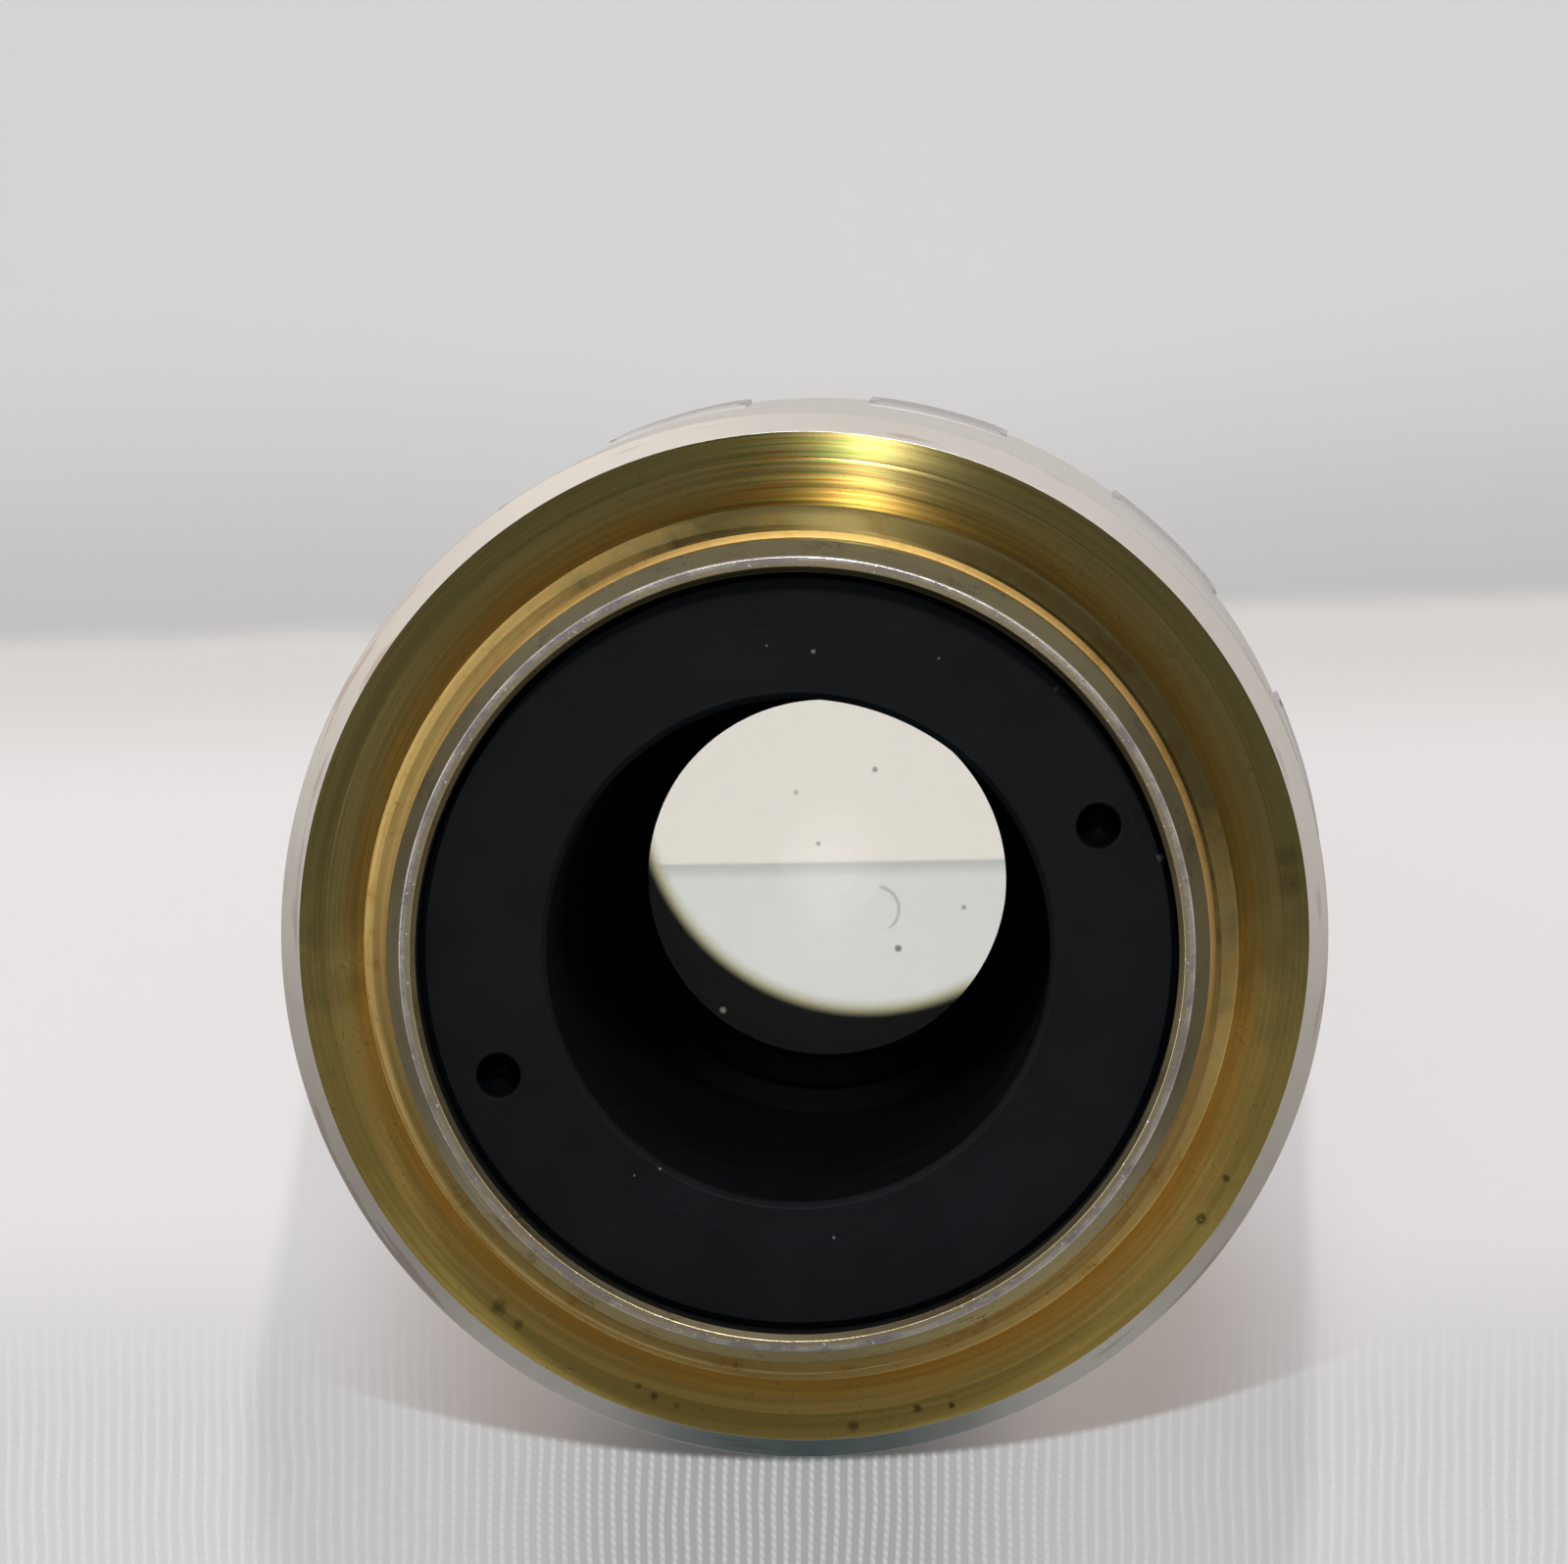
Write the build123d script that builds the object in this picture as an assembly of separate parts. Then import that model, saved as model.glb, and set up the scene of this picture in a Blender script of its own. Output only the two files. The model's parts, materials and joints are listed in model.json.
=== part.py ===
from build123d import *
import math
import os

# Microscope objective of low power with the standard 20.32 mm objective thread.
# Millimetres. The optical axis is Z, the thread points up and the front lens points down.
# z = 0 is the shoulder, the face that seats on the nosepiece. The object stands on its nose.

# Clearances
SLIDE_GAP = 0.02
LENS_GAP = 0.01
CEMENT_GAP = 0.01
NECK_GAP = 0.05
SHIM_EDGE_GAP = 0.05
END_GAP = 0.1
FRONT_MOUTH_GAP = 0.4

# Outer barrel, turned in one piece. Depths are counted down from the shoulder.
THREAD_R = 10.16
THREAD_LENGTH = 3.2
THREAD_CHAMFER = 0.25
THREAD_DEPTH = 0.68
PILOT_LENGTH = 2.8
PILOT_TAPER_WIDTH = 0.36
PILOT_TAPER_LENGTH = 0.9
PILOT_MOUTH_CHAMFER = 0.14
PILOT_WALL = 0.72
SHOULDER_WIDTH = 1.69
RIM_CHAMFER = 0.45
BARREL_LENGTH = 18.4
BARREL_FOOT_CHAMFER = 0.6
TUBE_LEDGE_DEPTH = 16.9
TUBE_BORE_STEP = 0.46
RING_THREAD_RELIEF = 0.2
SPIGOT_WALL = 2.45
SPIGOT_LENGTH = 2.5

# Grip pads on the barrel
PAD_COUNT = 12
PAD_RISE = 0.12
PAD_ARC = 16.0
PAD_TOP_DEPTH = 11.5
PAD_LENGTH = 5.0
PAD_FIRST_ANGLE = 16.0
PAD_ROOT = 0.3

# Rear retaining ring with its two spanner holes
REAR_RING_THICKNESS = 4.8
REAR_RING_RECESS = 1.2
REAR_RING_CHAMFER = 0.15
SPANNER_HOLE_R = 0.5
SPANNER_HOLE_DEPTH = 1.5
SPANNER_HOLE_INSET = 1.24
SPANNER_ANGLE = 22.7

# Inner lens tube, its shim and its dark liner
NECK_WALL = 0.7
LINER_WALL = 0.5
LEDGE_TOP_DEPTH = 19.8
LEDGE_THICKNESS = 1.8
LEDGE_STEP = 0.6
LEDGE_MARGIN = 0.63
SHIM_THICKNESS = 0.3

# Glass: radii of curvature are positive where the face is domed upwards
REAR_LENS_R = 5.5
REAR_FLINT_THICKNESS = 1.1
REAR_CROWN_THICKNESS = 2.7
REAR_TOP_CURVE = 16.0
REAR_CEMENT_CURVE = 9.0
REAR_TO_MIDDLE_AIR = 0.55
MIDDLE_LENS_R = 5.0
MIDDLE_CROWN_THICKNESS = 2.5
MIDDLE_FLINT_THICKNESS = 1.0
MIDDLE_TOP_CURVE = 11.05
MIDDLE_CEMENT_CURVE = -31.2
MIDDLE_BOTTOM_CURVE = 35.8
MIDDLE_TO_FRONT_AIR = 2.0
FRONT_LENS_R = 4.2
FRONT_LENS_THICKNESS = 2.0
FRONT_TOP_CURVE = 94.9

# Lens cells. A lip is how far the metal covers the rim of a lens.
CELL_WALL = 0.28
REAR_CELL_HEAD = 1.0
REAR_CELL_LIP = 0.93
REAR_CELL_TAIL = 0.85
STOP_THICKNESS = 0.2
STOP_LIP = 0.6
MIDDLE_CELL_LIP = 0.4
MIDDLE_CELL_TAIL = 0.75
SPACER_THICKNESS = 0.3
SPACER_WIDTH = 0.88
FRONT_CELL_WALL = 0.6
FRONT_CELL_LIP = 0.5
FRONT_CELL_LIP_THICKNESS = 0.35
FRONT_CELL_FLARE = 0.25
FRONT_CELL_NOSE_LENGTH = 1.61

# Threaded rings that hold the lenses in their cells
LENS_RING_WALL = 0.4
REAR_RING_LIP = 0.5
REAR_LENS_RING_THICKNESS = 0.65
MIDDLE_RING_LIP = 0.6
MIDDLE_LENS_RING_THICKNESS = 0.55
FRONT_RING_LIP = 0.4
FRONT_LENS_RING_THICKNESS = 0.55
SPANNER_SLOT_WIDTH = 0.8
SPANNER_SLOT_DEPTH = 0.3
FRONT_RING_SLOT_DEPTH = 0.5

# Nose sleeve, screwed up against the barrel
SLEEVE_WALL = 1.98
SLEEVE_TOP_CHAMFER = 0.3
SLEEVE_BAND_LENGTH = 2.6
SLEEVE_CAVITY_STEP = 0.82
SLEEVE_CAVITY_LENGTH = 4.0
NOSE_WALL = 1.35
NOSE_BAND_LENGTH = 2.2
NOSE_FIT_LENGTH = 3.7
NOSE_CHAMFER = 0.8
NOSE_LIP = 0.6
NOSE_GUARD = 0.39

# Grub screws that lock the sleeve
SCREW_COUNT = 3
SCREW_R = 0.8
SCREW_LENGTH = 1.7
SCREW_SLOT_WIDTH = 0.25
SCREW_SLOT_DEPTH = 0.4
SCREW_FIRST_ANGLE = 30.0

# Radii of the mount, from the thread inwards and outwards
pilot_r = THREAD_R - THREAD_DEPTH
ring_bore_r = pilot_r - PILOT_WALL
rear_ring_r = ring_bore_r - SLIDE_GAP
tube_bore_r = ring_bore_r - TUBE_BORE_STEP
tube_r = tube_bore_r - SLIDE_GAP
shoulder_r = THREAD_R + SHOULDER_WIDTH
barrel_r = shoulder_r + RIM_CHAMFER

# Radii of the inside, from the lenses outwards
rear_cell_bore_r = REAR_LENS_R - REAR_CELL_LIP
ledge_bore_r = rear_cell_bore_r + LEDGE_MARGIN
liner_bore_r = ledge_bore_r + LEDGE_STEP
liner_r = liner_bore_r + LINER_WALL
cell_r = max(REAR_LENS_R, MIDDLE_LENS_R) + LENS_RING_WALL + CELL_WALL
cell_bore_r = cell_r + SLIDE_GAP
neck_r = cell_bore_r + NECK_WALL
neck_bore_r = neck_r + NECK_GAP
spigot_r = neck_bore_r + SPIGOT_WALL
spigot_bore_r = spigot_r + SLIDE_GAP
sleeve_r = spigot_bore_r + SLEEVE_WALL
nose_r = neck_bore_r + NOSE_WALL
front_cell_nose_r = FRONT_LENS_R + LENS_RING_WALL + FRONT_CELL_WALL

# Heights, from the shoulder down to the nose
pilot_end_z = THREAD_LENGTH + PILOT_LENGTH
rear_ring_top_z = pilot_end_z - REAR_RING_RECESS
tube_top_z = rear_ring_top_z - REAR_RING_THICKNESS
tube_foot_z = -TUBE_LEDGE_DEPTH + SHIM_THICKNESS
barrel_foot_z = -BARREL_LENGTH
cell_top_z = -LEDGE_TOP_DEPTH - LEDGE_THICKNESS
rear_vertex_z = cell_top_z - REAR_CELL_HEAD
rear_cement_z = rear_vertex_z - REAR_FLINT_THICKNESS
rear_bottom_z = rear_cement_z - REAR_CROWN_THICKNESS
rear_cell_foot_z = rear_bottom_z - REAR_CELL_TAIL
middle_cell_top_z = rear_cell_foot_z - STOP_THICKNESS
middle_vertex_z = rear_bottom_z - REAR_TO_MIDDLE_AIR
middle_cement_z = middle_vertex_z - MIDDLE_CROWN_THICKNESS
middle_bottom_z = middle_cement_z - MIDDLE_FLINT_THICKNESS
front_vertex_z = middle_bottom_z - MIDDLE_TO_FRONT_AIR
front_bottom_z = front_vertex_z - FRONT_LENS_THICKNESS
front_seat_z = front_bottom_z - LENS_GAP
front_cell_foot_z = front_seat_z - FRONT_CELL_LIP_THICKNESS
front_flange_z = front_cell_foot_z + FRONT_CELL_NOSE_LENGTH
nose_z = front_cell_foot_z - NOSE_GUARD
nose_lip_z = nose_z + NOSE_LIP
tube_end_z = nose_lip_z + END_GAP


def sag(curve, radius):
    """How far a lens face has dropped at this distance from the axis."""
    return math.copysign(abs(curve) - math.sqrt(curve * curve - radius * radius), curve)


def face_z(vertex_z, curve, radius):
    """Height of a lens face at this distance from the axis."""
    return vertex_z - sag(curve, radius)


middle_rim_z = face_z(middle_bottom_z, MIDDLE_BOTTOM_CURVE, MIDDLE_LENS_R)
middle_cell_foot_z = middle_rim_z - MIDDLE_CELL_TAIL
front_cell_top_z = middle_cell_foot_z - SPACER_THICKNESS
front_rim_z = face_z(front_vertex_z, FRONT_TOP_CURVE, FRONT_LENS_R)


def turned(points):
    """One turned solid from its half section, given as radius and height."""
    return revolve(Plane.XZ * make_face(Polyline(*points, close=True)), axis=Axis.Z)


def ring(outer_r, inner_r, top_z, bottom_z):
    """A plain ring."""
    return turned([(inner_r, top_z), (outer_r, top_z), (outer_r, bottom_z), (inner_r, bottom_z)])


def around(solid, count, first_angle):
    """Copies of a solid at even angles about the axis."""
    return [Rot(0, 0, first_angle + 360 / count * k) * solid for k in range(count)]


def spanner_slots(reach, face_height, depth):
    """The bar that cuts two spanner slots across the face of a ring."""
    return Pos(0, 0, face_height) * Box(2 * reach, SPANNER_SLOT_WIDTH, 2 * depth)


def arc_edge(vertex_z, curve, radius):
    """Half of a lens face, from the axis to the rim."""
    middle_r = radius / 2
    return ThreePointArc(
        (0, vertex_z),
        (middle_r, face_z(vertex_z, curve, middle_r)),
        (radius, face_z(vertex_z, curve, radius)),
    )


def lens(radius, top_z, top_curve, bottom_z, bottom_curve):
    """A round lens between two faces. A curve of 0 is a flat face."""
    ends = []
    for vertex_z, curve in ((top_z, top_curve), (bottom_z, bottom_curve)):
        if curve == 0:
            ends.append(Line((0, vertex_z), (radius, vertex_z)))
        else:
            ends.append(arc_edge(vertex_z, curve, radius))
    rim = Line(ends[0] @ 1, ends[1] @ 1)
    axis_line = Line((0, bottom_z), (0, top_z))
    return revolve(Plane.XZ * make_face(Wire([*ends, rim, axis_line])), axis=Axis.Z)


def make_grip_pads():
    """The raised pads that are knurled for the fingers."""
    top_z = -PAD_TOP_DEPTH
    section = Polyline(
        (barrel_r - PAD_ROOT, top_z),
        (barrel_r, top_z),
        (barrel_r + PAD_RISE, top_z - PAD_RISE),
        (barrel_r + PAD_RISE, top_z - PAD_LENGTH + PAD_RISE),
        (barrel_r, top_z - PAD_LENGTH),
        (barrel_r - PAD_ROOT, top_z - PAD_LENGTH),
        close=True,
    )
    pad = revolve(Plane.XZ * make_face(section), axis=Axis.Z, revolution_arc=PAD_ARC)
    return around(pad, PAD_COUNT, PAD_FIRST_ANGLE - PAD_ARC / 2)


def make_outer_barrel():
    """Pilot, thread, shoulder, grip barrel and spigot, turned from one bar."""
    body = turned(
        [
            (ring_bore_r, pilot_end_z - PILOT_MOUTH_CHAMFER),
            (ring_bore_r + PILOT_MOUTH_CHAMFER, pilot_end_z),
            (pilot_r - PILOT_TAPER_WIDTH, pilot_end_z),
            (pilot_r, pilot_end_z - PILOT_TAPER_LENGTH),
            (pilot_r, THREAD_LENGTH),
            (THREAD_R - THREAD_CHAMFER, THREAD_LENGTH),
            (THREAD_R, THREAD_LENGTH - THREAD_CHAMFER),
            (THREAD_R, 0),
            (shoulder_r, 0),
            (barrel_r, -RIM_CHAMFER),
            (barrel_r, barrel_foot_z + BARREL_FOOT_CHAMFER),
            (barrel_r - BARREL_FOOT_CHAMFER, barrel_foot_z),
            (spigot_r, barrel_foot_z),
            (spigot_r, barrel_foot_z - SPIGOT_LENGTH),
            (neck_bore_r, barrel_foot_z - SPIGOT_LENGTH),
            (neck_bore_r, -TUBE_LEDGE_DEPTH),
            (tube_bore_r, -TUBE_LEDGE_DEPTH),
            (tube_bore_r, tube_top_z - RING_THREAD_RELIEF),
            (ring_bore_r, tube_top_z - RING_THREAD_RELIEF),
        ]
    )
    return body + make_grip_pads()


def make_rear_retaining_ring():
    """Black ring in the rear mouth. It clamps the lens tube and has two spanner holes."""
    chamfer = REAR_RING_CHAMFER
    body = turned(
        [
            (liner_bore_r + chamfer, rear_ring_top_z),
            (rear_ring_r - chamfer, rear_ring_top_z),
            (rear_ring_r, rear_ring_top_z - chamfer),
            (rear_ring_r, tube_top_z),
            (liner_bore_r, tube_top_z),
            (liner_bore_r, rear_ring_top_z - chamfer),
        ]
    )
    hole_x = rear_ring_r - SPANNER_HOLE_INSET
    hole = Pos(hole_x, 0, rear_ring_top_z) * Cylinder(SPANNER_HOLE_R, 2 * SPANNER_HOLE_DEPTH)
    return body - around(hole, 2, SPANNER_ANGLE)


def make_inner_lens_tube():
    """Tube that carries the liner above its ledge and the lens cells below it."""
    liner_seat_r = liner_r + SLIDE_GAP
    return turned(
        [
            (liner_seat_r, tube_top_z),
            (tube_r, tube_top_z),
            (tube_r, tube_foot_z),
            (neck_r, tube_foot_z),
            (neck_r, tube_end_z),
            (cell_bore_r, tube_end_z),
            (cell_bore_r, cell_top_z),
            (ledge_bore_r, cell_top_z),
            (ledge_bore_r, -LEDGE_TOP_DEPTH),
            (liner_seat_r, -LEDGE_TOP_DEPTH),
        ]
    )


def make_baffle_tube():
    """Black liner of the light path, between the retaining ring and the ledge."""
    return ring(liner_r, liner_bore_r, tube_top_z, -LEDGE_TOP_DEPTH)


def make_parfocal_shim():
    """Thin washer that sets the height of the lens tube in the barrel."""
    return ring(tube_r - SHIM_EDGE_GAP, neck_r + SHIM_EDGE_GAP, tube_foot_z, -TUBE_LEDGE_DEPTH)


def make_rear_cell():
    """Cell of the rear doublet. Its lip is above the glass and its ring below."""
    lip_z = face_z(rear_vertex_z, REAR_TOP_CURVE, rear_cell_bore_r) + LENS_GAP
    lens_bore_r = REAR_LENS_R + LENS_GAP
    ring_seat_r = REAR_LENS_R + LENS_RING_WALL
    return turned(
        [
            (rear_cell_bore_r, cell_top_z),
            (cell_r, cell_top_z),
            (cell_r, rear_cell_foot_z),
            (ring_seat_r, rear_cell_foot_z),
            (ring_seat_r, rear_bottom_z - LENS_GAP),
            (lens_bore_r, rear_bottom_z - LENS_GAP),
            (lens_bore_r, lip_z),
            (rear_cell_bore_r, lip_z),
        ]
    )


def make_rear_lens_ring():
    """Threaded ring under the rear doublet, with spanner slots."""
    top_z = rear_bottom_z - LENS_GAP
    bottom_z = top_z - REAR_LENS_RING_THICKNESS
    outer_r = REAR_LENS_R + LENS_RING_WALL - SLIDE_GAP
    body = ring(outer_r, REAR_LENS_R - REAR_RING_LIP, top_z, bottom_z)
    return body - spanner_slots(outer_r, bottom_z, SPANNER_SLOT_DEPTH)


def make_aperture_stop():
    """Thin black washer whose hole limits the light between the doublets."""
    return ring(cell_r, MIDDLE_LENS_R - STOP_LIP, rear_cell_foot_z, middle_cell_top_z)


def make_middle_cell():
    """Cell of the middle doublet, with its lip above and its ring below."""
    lip_bore_r = MIDDLE_LENS_R - MIDDLE_CELL_LIP
    lip_z = face_z(middle_vertex_z, MIDDLE_TOP_CURVE, lip_bore_r) + LENS_GAP
    lens_bore_r = MIDDLE_LENS_R + LENS_GAP
    ring_seat_r = MIDDLE_LENS_R + LENS_RING_WALL
    return turned(
        [
            (lip_bore_r, middle_cell_top_z),
            (cell_r, middle_cell_top_z),
            (cell_r, middle_cell_foot_z),
            (ring_seat_r, middle_cell_foot_z),
            (ring_seat_r, middle_rim_z - LENS_GAP),
            (lens_bore_r, middle_rim_z - LENS_GAP),
            (lens_bore_r, lip_z),
            (lip_bore_r, lip_z),
        ]
    )


def make_middle_lens_ring():
    """Threaded ring under the middle doublet, with spanner slots."""
    top_z = middle_rim_z - LENS_GAP
    bottom_z = top_z - MIDDLE_LENS_RING_THICKNESS
    outer_r = MIDDLE_LENS_R + LENS_RING_WALL - SLIDE_GAP
    body = ring(outer_r, MIDDLE_LENS_R - MIDDLE_RING_LIP, top_z, bottom_z)
    return body - spanner_slots(outer_r, bottom_z, SPANNER_SLOT_DEPTH)


def make_front_spacer():
    """Spacer between the middle and the front cell."""
    return ring(cell_r, cell_r - SPACER_WIDTH, middle_cell_foot_z, front_cell_top_z)


def make_front_cell():
    """Cell of the front lens. Its flange is held by the front ring."""
    mouth_r = FRONT_LENS_R - FRONT_CELL_LIP
    lens_bore_r = FRONT_LENS_R + LENS_GAP
    ring_seat_r = FRONT_LENS_R + LENS_RING_WALL
    return turned(
        [
            (ring_seat_r, front_cell_top_z),
            (cell_r, front_cell_top_z),
            (cell_r, front_flange_z),
            (front_cell_nose_r, front_flange_z),
            (front_cell_nose_r, front_cell_foot_z),
            (mouth_r + FRONT_CELL_FLARE, front_cell_foot_z),
            (mouth_r, front_cell_foot_z + FRONT_CELL_FLARE),
            (mouth_r, front_seat_z),
            (lens_bore_r, front_seat_z),
            (lens_bore_r, front_rim_z),
            (ring_seat_r, front_rim_z),
        ]
    )


def make_front_lens_ring():
    """Threaded ring on top of the front lens, with spanner slots."""
    hole_r = FRONT_LENS_R - FRONT_RING_LIP
    bottom_z = face_z(front_vertex_z, FRONT_TOP_CURVE, hole_r) + LENS_GAP
    top_z = bottom_z + FRONT_LENS_RING_THICKNESS
    outer_r = FRONT_LENS_R + LENS_RING_WALL - SLIDE_GAP
    body = ring(outer_r, hole_r, top_z, bottom_z)
    return body - spanner_slots(outer_r, top_z, SPANNER_SLOT_DEPTH)


def make_front_retaining_ring():
    """Ring in the front mouth of the lens tube that clamps the stack of cells."""
    body = ring(cell_r, front_cell_nose_r + SLIDE_GAP, front_flange_z, tube_end_z)
    return body - spanner_slots(cell_r, tube_end_z, FRONT_RING_SLOT_DEPTH)


def make_lenses():
    """The five lenses by node name. Each doublet is a cemented pair."""
    return {
        "rear_flint_lens": lens(
            REAR_LENS_R, rear_vertex_z, REAR_TOP_CURVE, rear_cement_z + CEMENT_GAP, REAR_CEMENT_CURVE
        ),
        "rear_crown_lens": lens(REAR_LENS_R, rear_cement_z, REAR_CEMENT_CURVE, rear_bottom_z, 0),
        "middle_crown_lens": lens(
            MIDDLE_LENS_R, middle_vertex_z, MIDDLE_TOP_CURVE, middle_cement_z, MIDDLE_CEMENT_CURVE
        ),
        "middle_flint_lens": lens(
            MIDDLE_LENS_R,
            middle_cement_z - CEMENT_GAP,
            MIDDLE_CEMENT_CURVE,
            middle_bottom_z,
            MIDDLE_BOTTOM_CURVE,
        ),
        "front_lens": lens(FRONT_LENS_R, front_vertex_z, FRONT_TOP_CURVE, front_bottom_z, 0),
    }


def screw_z():
    """Height of the grub screws, half way down the spigot."""
    return barrel_foot_z - SPIGOT_LENGTH / 2


def make_nose_sleeve():
    """Conical front sleeve that screws on the spigot and covers the lens tube."""
    top_z = barrel_foot_z
    spigot_foot_z = top_z - SPIGOT_LENGTH - NECK_GAP
    cavity_r = spigot_bore_r - SLEEVE_CAVITY_STEP
    mouth_r = front_cell_nose_r + FRONT_MOUTH_GAP
    body = turned(
        [
            (spigot_bore_r, top_z),
            (sleeve_r - SLEEVE_TOP_CHAMFER, top_z),
            (sleeve_r, top_z - SLEEVE_TOP_CHAMFER),
            (sleeve_r, top_z - SLEEVE_BAND_LENGTH),
            (nose_r, nose_z + NOSE_BAND_LENGTH),
            (nose_r, nose_z + NOSE_CHAMFER),
            (nose_r - NOSE_CHAMFER, nose_z),
            (mouth_r, nose_z),
            (mouth_r, nose_lip_z),
            (neck_bore_r, nose_lip_z),
            (neck_bore_r, nose_z + NOSE_FIT_LENGTH),
            (cavity_r, spigot_foot_z - SLEEVE_CAVITY_LENGTH),
            (cavity_r, spigot_foot_z),
            (spigot_bore_r, spigot_foot_z),
        ]
    )
    reach = sleeve_r - spigot_r
    hole = Cylinder(SCREW_R + SLIDE_GAP, 2 * reach, rotation=(0, 90, 0))
    return body - around(Pos(sleeve_r, 0, screw_z()) * hole, SCREW_COUNT, SCREW_FIRST_ANGLE)


def make_nose_set_screws():
    """Grub screws in the sleeve that press on the spigot."""
    screw = Cylinder(SCREW_R, SCREW_LENGTH, rotation=(0, 90, 0))
    slot = Pos(SCREW_LENGTH / 2, 0, 0) * Box(2 * SCREW_SLOT_DEPTH, 2 * SCREW_R, SCREW_SLOT_WIDTH)
    placed = Pos(spigot_bore_r + SCREW_LENGTH / 2, 0, screw_z()) * (screw - slot)
    return Compound(around(placed, SCREW_COUNT, SCREW_FIRST_ANGLE))


def make_all():
    """Every sub-part by node name."""
    return {
        "outer_barrel": make_outer_barrel(),
        "nose_sleeve": make_nose_sleeve(),
        "nose_set_screws": make_nose_set_screws(),
        "rear_retaining_ring": make_rear_retaining_ring(),
        "inner_lens_tube": make_inner_lens_tube(),
        "baffle_tube": make_baffle_tube(),
        "parfocal_shim": make_parfocal_shim(),
        "rear_cell": make_rear_cell(),
        "rear_lens_ring": make_rear_lens_ring(),
        "aperture_stop": make_aperture_stop(),
        "middle_cell": make_middle_cell(),
        "middle_lens_ring": make_middle_lens_ring(),
        "front_spacer": make_front_spacer(),
        "front_cell": make_front_cell(),
        "front_lens_ring": make_front_lens_ring(),
        "front_retaining_ring": make_front_retaining_ring(),
        **make_lenses(),
    }


os.makedirs("parts", exist_ok=True)
for node, shape in make_all().items():
    export_step(shape, f"parts/{node}.step")
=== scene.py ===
import json
import logging
import math
from abc import ABC, abstractmethod
from collections.abc import Callable, Sequence
from dataclasses import dataclass, field, replace
from enum import Enum, IntEnum, auto
from typing import NamedTuple, Self

import bmesh
import bpy
import numpy as np
from mathutils import Matrix, Vector


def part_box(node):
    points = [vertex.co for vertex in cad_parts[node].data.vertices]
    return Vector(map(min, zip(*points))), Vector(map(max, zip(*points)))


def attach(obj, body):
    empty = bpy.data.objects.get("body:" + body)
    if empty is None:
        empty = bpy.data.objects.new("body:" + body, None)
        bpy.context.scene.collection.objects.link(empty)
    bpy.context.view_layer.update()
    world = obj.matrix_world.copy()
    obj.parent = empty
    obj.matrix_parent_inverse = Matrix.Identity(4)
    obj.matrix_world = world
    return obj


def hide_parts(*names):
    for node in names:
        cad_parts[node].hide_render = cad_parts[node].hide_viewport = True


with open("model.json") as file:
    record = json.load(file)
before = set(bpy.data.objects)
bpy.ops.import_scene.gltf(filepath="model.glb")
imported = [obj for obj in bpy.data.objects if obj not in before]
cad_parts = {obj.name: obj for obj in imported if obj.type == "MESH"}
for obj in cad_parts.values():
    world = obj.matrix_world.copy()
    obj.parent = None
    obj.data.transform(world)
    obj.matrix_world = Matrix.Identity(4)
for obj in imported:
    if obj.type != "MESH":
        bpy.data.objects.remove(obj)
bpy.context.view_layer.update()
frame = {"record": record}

# Sizes in this file are in millimetres. A mesh is scaled to metres where it is made.
# The optical axis is Z, the thread points up, and z = 0 is the shoulder. Heights that differ by
# less than TOUCH are one and the same.
MM = 0.001
INCH = 25.4
TOUCH = 1e-6
BODY = "root"

log = logging.getLogger("microscope_objective")

Socket = bpy.types.NodeSocket
Material = bpy.types.Material
Thing = bpy.types.Object
Value = float | tuple[float, ...] | Socket
Colour = tuple[float, float, float]


@dataclass(frozen=True)
class Span:
    """Where a piece lies along the axis, and how far out it reaches."""

    bottom: float
    top: float
    radius: float


def span_of(node: str) -> Span:
    """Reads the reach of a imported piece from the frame.

    Args:
        node: The piece's name in the frame.

    Returns:
        Its lowest and highest point and its outer radius, in millimetres.
    """
    low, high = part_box(node)
    return Span(low.z / MM, high.z / MM, high.x / MM)


def mount_size(name: str, key: str) -> float:
    """Reads one dimension of a mount from the record.

    Args:
        name: The mount's name.
        key: The dimension's name.

    Returns:
        The dimension as the record states it.
    """
    return next(m for m in frame["record"]["mounts"] if m["name"] == name)["dims"][key]


def placed(name: str, data: bpy.types.ID) -> Thing:
    """Makes an object and links it into the scene.

    Args:
        name: The object's name.
        data: Its mesh, lamp or camera.

    Returns:
        The object.
    """
    thing = bpy.data.objects.new(name, data)
    bpy.context.scene.collection.objects.link(thing)
    return thing


# Turned forms


@dataclass(frozen=True)
class Corner:
    """One corner of a turned section.

    A section of a ring runs up the bore, out over the top and down the outside. That of a solid runs
    from the top of the axis round to its foot. soften is the radius that the edge is broken to, 0 for
    a sharp one. zone and rows belong to the face that leads to the next corner: its material, and the
    strips it is divided into.
    """

    r: float
    z: float
    zone: int = 0
    rows: int = 1
    soften: float = 0.03


ARC_STEPS = 4
SHARE_OF_FACE = 0.45


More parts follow.
